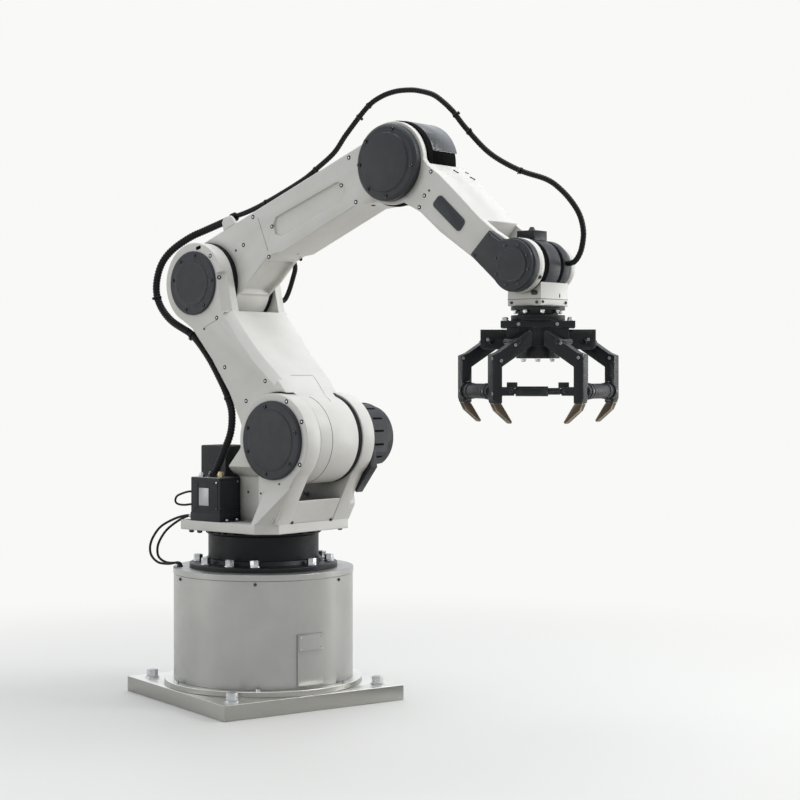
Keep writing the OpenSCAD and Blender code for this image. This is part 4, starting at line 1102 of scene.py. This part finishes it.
class ARM_OT_shoulder(bpy.types.Operator):
    """Finishes the shoulder's cap, shaft, motor and bracket"""

    bl_idname = "arm.shoulder"
    bl_label = "Shoulder joint"

    def execute(self, context):
        dress("shoulder_cap", "slate", 0.0016)
        dress("shoulder_shaft", "zinc", 0.0010, segments=2)
        self.motor()
        dress("motor_bracket", "black", 0.0015, segments=2)
        spots = round_spots(SHOULDER, 122, (103, 14, 319, 259, 200, 160), -212.5)
        screws_on("shoulder_cap_screws", spots, 13, 4.5, "turntable")
        spots = [(*s, FAR) for s in round_spots(SHOULDER, 98, range(0, 360, 60), 330)]
        screws_on("motor_screws", spots, 12, 3.0, "turntable")
        notches = []
        for k in range(16):
            a = math.radians(11.25 + 22.5 * k)
            x, z, out = 0.127 * math.cos(a), 0.127 * math.sin(a), Vector((math.cos(a), 0, math.sin(a)))
            if abs(x) > MOTOR_FLAT:
                x, out = math.copysign(MOTOR_FLAT, x), Vector((math.copysign(1, x), 0, 0))
            elif z < -MOTOR_FOOT:
                z, out = -MOTOR_FOOT, Vector(DOWN)
            lay = Matrix((Vector(FAR), Vector(FAR).cross(-out), out)).transposed().to_4x4()
            notches.append(Matrix.Translation((SHOULDER[0] / 1000 + x, 0.244, SHOULDER[1] / 1000 + z)) @ lay)
        scatter("motor_notches", stadium(0.052, 0.008, -0.002, 0.0007), notches, "void", "turntable")
        return {"FINISHED"}

    def motor(self):
        """The shoulder's motor: flange and skin spun, the skin cut flat at its sides and foot."""
        whole = bmesh.new()
        flats = ((Vector((1, 0, 0)), MOTOR_FLAT), (Vector((-1, 0, 0)), MOTOR_FLAT), (Vector(DOWN), MOTOR_FOOT))
        flange = [(0, 160), (135, 160), (135, 178), (127.8, 181.6), (127.8, 184), (0, 184)]
        skin = [(0, 178), (127, 178), (127, 286), (115, 294), (115, 324), (109, 330), (0, 330)]
        for profile, cuts in ((flange, ()), (skin, flats)):
            bm = bmesh.new()
            spin_round(bm, profile, 96)
            bmesh.ops.transform(bm, matrix=Matrix.Rotation(math.radians(-90), 4, "X"), verts=bm.verts)
            for way, reach in cuts:
                geom = bm.verts[:] + bm.edges[:] + bm.faces[:]
                bmesh.ops.bisect_plane(
                    bm, geom=geom, dist=SAME, plane_co=way * reach, plane_no=way, clear_outer=True
                )
                bmesh.ops.holes_fill(bm, edges=[e for e in bm.edges if e.is_boundary])
            bmesh.ops.translate(bm, vec=(SHOULDER[0] / 1000, 0, SHOULDER[1] / 1000), verts=bm.verts)
            bmesh.ops.recalc_face_normals(bm, faces=bm.faces)
            part = bpy.data.meshes.new("part")
            bm.to_mesh(part)
            bm.free()
            whole.from_mesh(part)
            bpy.data.meshes.remove(part)
        piece = keep("shoulder_motor_finished", whole, "slate", "turntable")
        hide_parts("shoulder_motor")
        return round_edges(piece, 0.0014, 20.0, 2)


class ARM_OT_boxes(bpy.types.Operator):
    """Finishes the junction box with its glands and bare plate, and the taller box behind it"""

    bl_idname = "arm.boxes"
    bl_label = "Boxes"

    def execute(self, context):
        dress("junction_box", "box", 0.0022)
        dress("drive_box", "black", 0.0025)
        stay = [Matrix.Identity(4)]
        panels = several(
            slab((-132.5, -244.8, 655.2), (18.5, -140, 686), 1.2),
            slab((-118, -245.2, 697), (8, -243, 801), 1.0),
            slab((-112, -246.6, 702), (-92, -244.9, 796), 0.6),
            slab((16.8, -243.0, 700), (18.6, -150.0, 803), 1.0),
            slab((17.0, -228.0, 655), (34.0, -152.0, 659.5), 1.0),
            slab((-189, -133, 922), (-65, -17, 924.6), 1.0),
        )
        scatter("box_panels", panels, stay, "box", "turntable")
        lid = slab((-131, -241, 811), (15, -147, 814.2), 0.8)
        scatter("box_lid", lid, stay, "plate", "turntable")
        bare = slab((-86, -247.0, 712), (-36, -245.0, 776), 0.5)
        scatter("bare_plate", bare, stay, "plate", "turntable")
        corners = [(x, -245.2, z) for x in (-113, 3) for z in (701, 797)]
        sides = [(18.6, y, z, (1, 0, 0)) for y in (-238, -155) for z in (705, 798)]
        screws_on("box_screws", corners[:3] + sides[:3], 7, 2.2, "turntable")
        screws_on("box_bright_screws", corners[3:] + sides[3:], 7, 2.2, "turntable", "zinc")
        low = [(25.5, y, 659.5, UP) for y in (-215, -165)]
        screws_on("box_bolts", low, 13, 6.0, "turntable", "zinc")
        glands = [turned(UP, p) for p in ((-0.096, -0.222, 0.813), (-0.092, -0.178, 0.813))]
        scatter("steel_glands", gland(0.022), glands, "zinc", "turntable")
        brass = [turned(UP, (-0.022, -0.200, 0.813))]
        scatter("brass_gland", gland(0.026), brass, "brass", "turntable")
        root = [turned(UP, (-0.064, -0.187, 0.813))]
        scatter("hose_root", gland(0.046, 0.6), root, "hose", "turntable")
        plugs = [turned((-1, 0, 0), p) for p in ((-0.141, -0.215, 0.757), (-0.141, -0.208, 0.711))]
        scatter("loop_plugs", gland(0.016, 0.9), plugs, "oxide", "turntable")
        ends = [turned((-1, 0, 0), p) for p in ((-0.145, -0.222, 0.670), (-0.145, -0.202, 0.670))]
        scatter("cable_plugs", gland(0.017, 1.0), ends, "zinc", "turntable")
        feet = [turned(UP, p) for p in ((-0.203, -0.237, 0.480), (-0.206, -0.223, 0.480))]
        scatter("cable_feet", gland(0.0135, 0.8), feet, "oxide", "base")
        return {"FINISHED"}


def gland(across, stretch=1.0):
    """Cable gland: hexagonal body, ribbed dome nut and the rubber mouth."""

    def make(bm):
        tall = across * stretch
        disc(bm, across / 2 / math.cos(math.pi / 6), -0.001, tall * 0.35, 6, 0.0008)
        disc(bm, across * 0.47, tall * 0.34, tall * 0.62, 16, 0.0007)
        disc(bm, across * 0.36, tall * 0.6, tall * 0.85, 20, across * 0.08)

    return make


# ---------------------------------------------------------------- lower arm and elbow


class ARM_OT_lower_arm(bpy.types.Operator):
    """Finishes the lower arm casting, its seal, seams and screws"""

    bl_idname = "arm.lower_arm"
    bl_label = "Lower arm"

    def execute(self, context):
        sizes = context.scene.arm_sizes
        dress("lower_arm", "casting", sizes.casting_edge)
        dress("shoulder_seal", "rubber", 0.0015, segments=2)
        spots = [
            (-112, -165, 1622), (-78, -165, 1394), (-36.3, -165, 1212.5), (168.7, -165, 1163.3), (73.3, -165, 1090.9),
            (-72.3, -158.2, 1541.5, (0.69, -0.71, 0.16)),
        ]
        sunk_screws("lower_arm_screws", spots, 14, "lower_arm")
        screws_on("lower_arm_pin", [(-143.6, -165, 1354)], 9, 1.5, "lower_arm")
        slot = [turned(NEAR, (-0.1744, -0.165, 1.6543), 0.25)]
        scatter("lower_arm_slot", stadium(0.026, 0.012, -0.001, 0.0012), slot, "void", "lower_arm")
        far = [(x, 165, z, FAR) for x, z in ((-112, 1622), (-78, 1394), (-36, 1212), (73, 1091))]
        sunk_screws("lower_arm_far_screws", far, 14, "lower_arm")
        width = sizes.seam_width
        drum = round_spots(SHOULDER, 160, [-75 + 175 * i / 60 for i in range(61)], -61)
        bead("drum_seam", drum, width, "lower_arm")
        panel = [
            (212.2, -78.3, 1183.6), (212.5, 36.6, 1183.3), (229, 35, 1169.6), (258.6, 31.5, 1137.4), (286, 27, 1107.3),
            (300, 22, 1102.3), (312.6, 17, 1096.7), (324.8, 10.7, 1089.7),
        ]
        bead("front_seam", panel, width * 0.7, "lower_arm")
        bead("elbow_seam", [(-78, -165, 1386), (-112, -165, 1373), (-141, -165, 1359)], width * 0.6, "lower_arm")
        return {"FINISHED"}


class ARM_OT_elbow(bpy.types.Operator):
    """Finishes the elbow's caps, shaft and rubber rings"""

    bl_idname = "arm.elbow"
    bl_label = "Elbow joint"

    def execute(self, context):
        dress("elbow_caps", "slate", 0.0014)
        dress("elbow_shaft", "zinc", 0.0010, segments=2)
        dress("elbow_seals", "rubber", 0.0018)
        reach = max(v.co.y for v in frame["nodes"]["elbow_caps"].data.vertices)
        faces = [turned((0, side, 0), (ELBOW[0] / 1000, side * reach, ELBOW[1] / 1000)) for side in (-1, 1)]
        scatter("elbow_cap_steps", raised_disc(0.084, 0.0022), faces, "slate", "lower_arm")
        near = round_spots(ELBOW, 103, (83, 4, 307, 252, 173, 128), -174.4)
        far = [(x, 174.4, z, FAR) for x, _, z in near]
        screws_on("elbow_cap_screws", near + far, 12, 4, "lower_arm")
        return {"FINISHED"}


# ---------------------------------------------------------------- upper arm and top joint


class ARM_OT_upper_arm(bpy.types.Operator):
    """Finishes the upper arm casting, the hose bracket, seams and screws"""

    bl_idname = "arm.upper_arm"
    bl_label = "Upper arm"

    def execute(self, context):
        sizes = context.scene.arm_sizes
        dress("upper_arm", "casting", sizes.casting_edge)
        dress("hose_bracket", "casting", 0.0025)
        spots = [
            (497, -85, 1943), (530, -85, 1786), (28.6, -85, 1762), (125, -85, 1722), (109.4, -85, 1613),
            (-20.3, -85, 1661.6), (453.6, -76, 1850),
        ]
        sunk_screws("upper_arm_screws", spots, 14, "upper_arm")
        pins = [(-59, -85, 1643), (167.5, 8.5, 1625.7, (0.1, 0, -1))]
        screws_on("upper_arm_pins", pins, 9, 1.5, "upper_arm")
        far = [(x, 85, z, FAR) for x, z in ((497, 1943), (530, 1786), (28, 1762), (109, 1613), (-20, 1662))]
        sunk_screws("upper_arm_far_screws", far, 14, "upper_arm")
        under = [turned((0.08, 0, -1), (0.5635, -0.0306, 1.7763), 1.2)]
        scatter("upper_arm_slot", stadium(0.024, 0.012, -0.001, 0.0012), under, "void", "upper_arm")
        line = [(54.1, -85, 1757.4), (75, -85, 1708), (97, -85, 1655), (106, -85, 1634)]
        bead("upper_arm_seam", line, sizes.seam_width * 0.7, "upper_arm")
        collar = turned((0.97, 0.03, 0.26), (-0.098, -0.0555, 1.7698))
        scatter("hose_collar", collar_shape(0.0155, 0.022), [collar], "rubber", "upper_arm")
        return {"FINISHED"}


def collar_shape(radius, length):
    """A short moulded sleeve with three beads round it."""

    def make(bm):
        disc(bm, radius, -length / 2, length / 2, 28, 0.0015)
        for middle in (-length * 0.3, 0.0, length * 0.3):
            disc(bm, radius * 1.08, middle - 0.002, middle + 0.002, 28, 0.0008)

    return make


class ARM_OT_top_joint(bpy.types.Operator):
    """Finishes the upper elbow's cap, shaft, ring and motor cover"""

    bl_idname = "arm.top_joint"
    bl_label = "Upper elbow"

    def execute(self, context):
        dress("top_cap", "slate", 0.0018)
        dress("top_shaft", "zinc", 0.0010, segments=2)
        shaft_end("top_shaft", TOP_JOINT)
        dress("top_seal", "void", 0.0016)
        dress("top_motor_cover", "motor", 0.0030)
        dress("motor_band", "void", 0.0012, segments=2)
        near = round_spots(TOP_JOINT, 116, (75, 138, 181, 229, 272, 351), -144.3)
        screws_on("top_cap_screws", near, 13, 4.5, "forearm")
        return {"FINISHED"}


# ---------------------------------------------------------------- forearm and wrist


class ARM_OT_forearm(bpy.types.Operator):
    """Finishes the forearm casting, its side cover and screws"""

    bl_idname = "arm.forearm"
    bl_label = "Forearm"

    def execute(self, context):
        sizes = context.scene.arm_sizes
        dress("forearm", "casting", sizes.casting_edge)
        dress("side_cover", "slate", 0.0010, segments=2, corner=0.013)
        spots = [(837.4, -112, 1748.3), (859, -112, 1786), (887.5, -112, 1864.2)]
        sunk_screws("forearm_screws", spots, 13, "forearm")
        screws_on("forearm_pin", [(879.7, -112, 1801.6)], 8, 1.5, "forearm")
        top = (0.575, 0.0, 0.818)
        slots = [turned(top, (0.8913, 0.0179, 1.8749), 0.5), turned(top, (0.9201, 0.0725, 1.8544), 0.5)]
        scatter("forearm_slots", stadium(0.022, 0.009, -0.001, 0.0012), slots, "void", "forearm")
        sunk_screws("forearm_top_screw", [(890.6, 79.5, 1875.4, top)], 13, "forearm")
        screws_on("fork_screw", [(1323, -99, 1498.5, (0.91, 0, -0.42))], 13, 3.5, "forearm")
        return {"FINISHED"}


def raised_disc(radius, height):
    """A low round boss with a rounded rim and a shallow step inside it."""

    def make(bm):
        top = disc(bm, radius, -0.001, height, 64, height * 0.45)
        bmesh.ops.inset_individual(bm, faces=[top], thickness=radius * 0.10, depth=0.0)
        bmesh.ops.inset_individual(bm, faces=[top], thickness=0.0012, depth=-0.0010)

    return make


class ARM_OT_wrist(bpy.types.Operator):
    """Finishes the wrist's cover, shaft, housing, drum, rings and motor"""

    bl_idname = "arm.wrist"
    bl_label = "Wrist"

    def execute(self, context):
        sizes = context.scene.arm_sizes
        dress("wrist_cover", "slate", 0.0018)
        dress("wrist_shaft", "zinc", 0.0010, segments=2)
        shaft_end("wrist_shaft", WRIST)
        dress("wrist_housing", "casting", 0.0030)
        dress("wrist_drum", "slate", 0.0020)
        dress("wrist_seals", "void", 0.0012, segments=2)
        dress("wrist_motor", "black", 0.0020)
        rim = [turned(NEAR, (1.245, -0.146, 1.539))]
        scatter("wrist_disc", raised_disc(0.059, 0.0035), rim, "slate", "forearm")
        spots = round_spots(WRIST, 67, (67, 25, -15, -67, -109, -155, 160, 112), -146)
        spots += [(1154.5, -146, 1641.6), (1094.7, -146, 1575.1)]
        screws_on("wrist_cover_screws", spots, 9.5, 2.6, "forearm")
        plug = [turned(NEAR, (1.2857, -0.076, 1.4509))]
        scatter("wrist_plug", stadium(0.026, 0.015, -0.001, 0.002), plug, "slate", "wrist")
        front = (1, 0, 0)
        spots = [(1311, -66, 1421, front), (1311, 62, 1421, front), (1295, -76, 1420), (1195, -76, 1420)]
        screws_on("wrist_block_screws", spots, 10, 3, "wrist")
        slot = [turned(front, (1.311, 0.0284, 1.4433))]
        scatter("wrist_slot", stadium(0.013, 0.005, -0.001, 0.0008), slot, "void", "wrist")
        corner = [(1311.0, -76.0), (1311.0, 76.0), (1179.0, 76.0), (1179.0, -76.0)]
        bead("block_seam", [(x, y, 1431) for x, y in corner], sizes.seam_width * 0.8, "wrist", closed=True)
        knob = [turned(UP, (1.221, 0.0, 1.6555))]
        scatter("motor_knob", gland(0.020, 0.8), knob, "motor", "wrist")
        return {"FINISHED"}


# ---------------------------------------------------------------- tool


class ARM_OT_gripper(bpy.types.Operator):
    """Finishes the tool flange, the gripper's frame, jaws, claws and tie"""

    bl_idname = "arm.gripper"
    bl_label = "Gripper"

    def execute(self, context):
        dress("tool_flange", "black", 0.0015, segments=2)
        dress("adapter_disc", "drum", 0.0015, segments=2)
        dress("gripper_frame", "black", 0.0015)
        dress("gripper_pins", "black", 0.0010, segments=2)
        dress("jaw_left", "jaw", 0.0022)
        dress("jaw_right", "jaw", 0.0022)
        dress("claws_left", "claw", 0.0016)
        dress("claws_right", "claw", 0.0016)
        dress("tie_tube", "black", 0.0012, segments=2)
        dress("tie_rod", "oxide", 0.0010, segments=2)
        out = in_tool(0, -1, 0) - in_tool(0, 0, 0)
        frame_spots = [turned(out, in_tool(x, -75, 1350)) for x in (-62, 62)]
        frame_spots += [turned(out, in_tool(x, 75, 1303)) for x in (-165, 165)]
        # painted shade: each bore is a black disc
        scatter("frame_bores", dimple(0.015), frame_spots, "void", "tool")
        scatter("frame_screws", socket_screw(0.012, 0.0025), frame_spots, "dull", "tool")
        down = [turned(DOWN, in_tool(74 * math.cos(a), 74 * math.sin(a), 1396)) for a in evenly(8, 0.2)]
        scatter("flange_bolts", hex_bolt(0.013, 0.010, 0.016), down, "zinc", "tool")
        top = [turned(UP, in_tool(x, y, 1361)) for x in (-105, 105) for y in (-60, 60)]
        scatter("plate_bolts", hex_bolt(0.017, 0.011, 0.022), top, "zinc", "tool")
        under = [turned(DOWN, in_tool(54 * math.cos(a), 54 * math.sin(a), 1240)) for a in evenly(6, 0.5)]
        scatter("block_bolts", hex_bolt(0.014, 0.010, 0.018), under, "zinc", "tool")
        turn = Matrix.Translation((WRIST[0] / 1000, 0, 0)) @ Matrix.Rotation(TOOL_TURN, 4, "Z")
        for side, body in ((-1, "tie_tube"), (1, "tie_rod")):
            low, high = sorted((side * 65, side * 99))
            block = slab((low, -131, 1144), (high, -109, 1163), 1.5)
            scatter(body + "_block", block, [turn], "black", body)
        for name, side in (("left", -1), ("right", 1)):
            self.finger_bolts(name, side)
        for name, side in (("left", -1), ("right", 1)):
            self.bar_collars(name, side)
        return {"FINISHED"}

    def bar_collars(self, name, side):
        """Black sleeve, end collars and clamp screws on the round bar between the two fingers of a jaw."""
        foot = in_jaw(side, BAR_X, 0, BAR_Z)
        at = turned(in_jaw(side, BAR_X, 1, BAR_Z) - foot, foot)
        sleeves = several(
            sleeve(0.0246, 0.020, 0.243),
            sleeve(0.0275, 0.037, 0.049),
            sleeve(0.0295, 0.228, 0.242),
            sleeve(0.0262, 0.062, 0.070),
            sleeve(0.0265, 0.193, 0.203),
        )
        scatter(f"jaw_{name}_sleeve", sleeves, [at], "black", f"jaw_{name}")
        spots = []
        for y, reach in ((43, 27.2), (235, 29.2)):
            for way in ((1, 0), (-1, 0), (0, 1)):
                here = in_jaw(side, BAR_X + reach * way[0], y, BAR_Z + reach * way[1])
                spots.append(turned(here - in_jaw(side, BAR_X, y, BAR_Z), here))
        scatter(f"jaw_{name}_clamps", socket_screw(0.0085, 0.0018), spots, "dull", f"jaw_{name}")

    def finger_bolts(self, name, side):
        """Dull bolts at the bends of the two fingers of a jaw, in bores whose shade is painted as black discs."""
        places = []
        spots = {
            "left": [((998.8, -79.6, 1242), (0.86, -0.51, 0)), ((1238.6, -190.6, 1231.4), (0.86, -0.51, 0)),
                     ((1222.9, -216.2, 1238.3), (-0.51, -0.86, 0)), ((1222.9, -216.2, 1126.4), (-0.51, -0.86, 0)),
                     ((1263.6, -148.1, 1282.2), (0.86, -0.51, 0))],
            "right": [((1440.7, -53.3, 1241.7), (0.2, -0.98, 0)), ((1455.8, -45.2, 1246.4), (0.98, 0.2, 0)),
                      ((1387.4, 204.3, 1241.8), (0.2, -0.98, 0)), ((1454.6, -39.6, 1132.6), (0.98, 0.2, 0)),
                      ((1381.1, -65.4, 1288), (0.2, -0.98, 0))],
        }[name]
        for at, out in spots:
            # the right jaw's outer face is the arm's furthest reach, so its bolts are set back to keep within it
            set_back = 0.003 if out[0] > 0.9 else 0.0
            places.append(turned(out, Vector(at) / 1000 - Vector(out) * set_back, JAW_SPLAY * side))
        scatter(f"jaw_{name}_bores", dimple(0.0145), places, "void", f"jaw_{name}")
        scatter(f"jaw_{name}_bolts", socket_screw(0.0115, 0.002), places, "dull", f"jaw_{name}")


def evenly(count, start):
    """Angles in radians, evenly round a circle."""
    return [start + math.tau * k / count for k in range(count)]


# ---------------------------------------------------------------- add-on


STEPS = (
    ARM_OT_stage,
    ARM_OT_hoses,
    ARM_OT_base,
    ARM_OT_turntable,
    ARM_OT_shoulder,
    ARM_OT_boxes,
    ARM_OT_lower_arm,
    ARM_OT_elbow,
    ARM_OT_upper_arm,
    ARM_OT_top_joint,
    ARM_OT_forearm,
    ARM_OT_wrist,
    ARM_OT_gripper,
)


class ARM_PT_panel(bpy.types.Panel):
    """Lists the arm's sizes, colours and pieces"""

    bl_idname = "ARM_PT_panel"
    bl_label = "Robot Arm"
    bl_space_type = "VIEW_3D"
    bl_region_type = "UI"
    bl_category = "Robot Arm"

    def draw(self, context):
        for group in (context.scene.arm_sizes, context.scene.arm_colours):
            for name in group.__annotations__:
                self.layout.prop(group, name)
        for step in STEPS:
            self.layout.operator(step.bl_idname)


CLASSES = (ArmSizes, ArmColours, *STEPS, ARM_PT_panel)


def register():
    """Registers the classes and the scene's settings."""
    for kind in CLASSES:
        bpy.utils.register_class(kind)
    bpy.types.Scene.arm_sizes = bpy.props.PointerProperty(type=ArmSizes)
    bpy.types.Scene.arm_colours = bpy.props.PointerProperty(type=ArmColours)


def unregister():
    """Takes the settings and classes away again."""
    del bpy.types.Scene.arm_colours
    del bpy.types.Scene.arm_sizes
    for kind in reversed(CLASSES):
        bpy.utils.unregister_class(kind)


def main():
    register()
    bpy.context.scene.view_settings.view_transform = "Standard"
    for step in STEPS:
        group, name = step.bl_idname.split(".")
        getattr(getattr(bpy.ops, group), name)()
    bpy.context.view_layer.update()


if __name__ == "__main__":
    main()
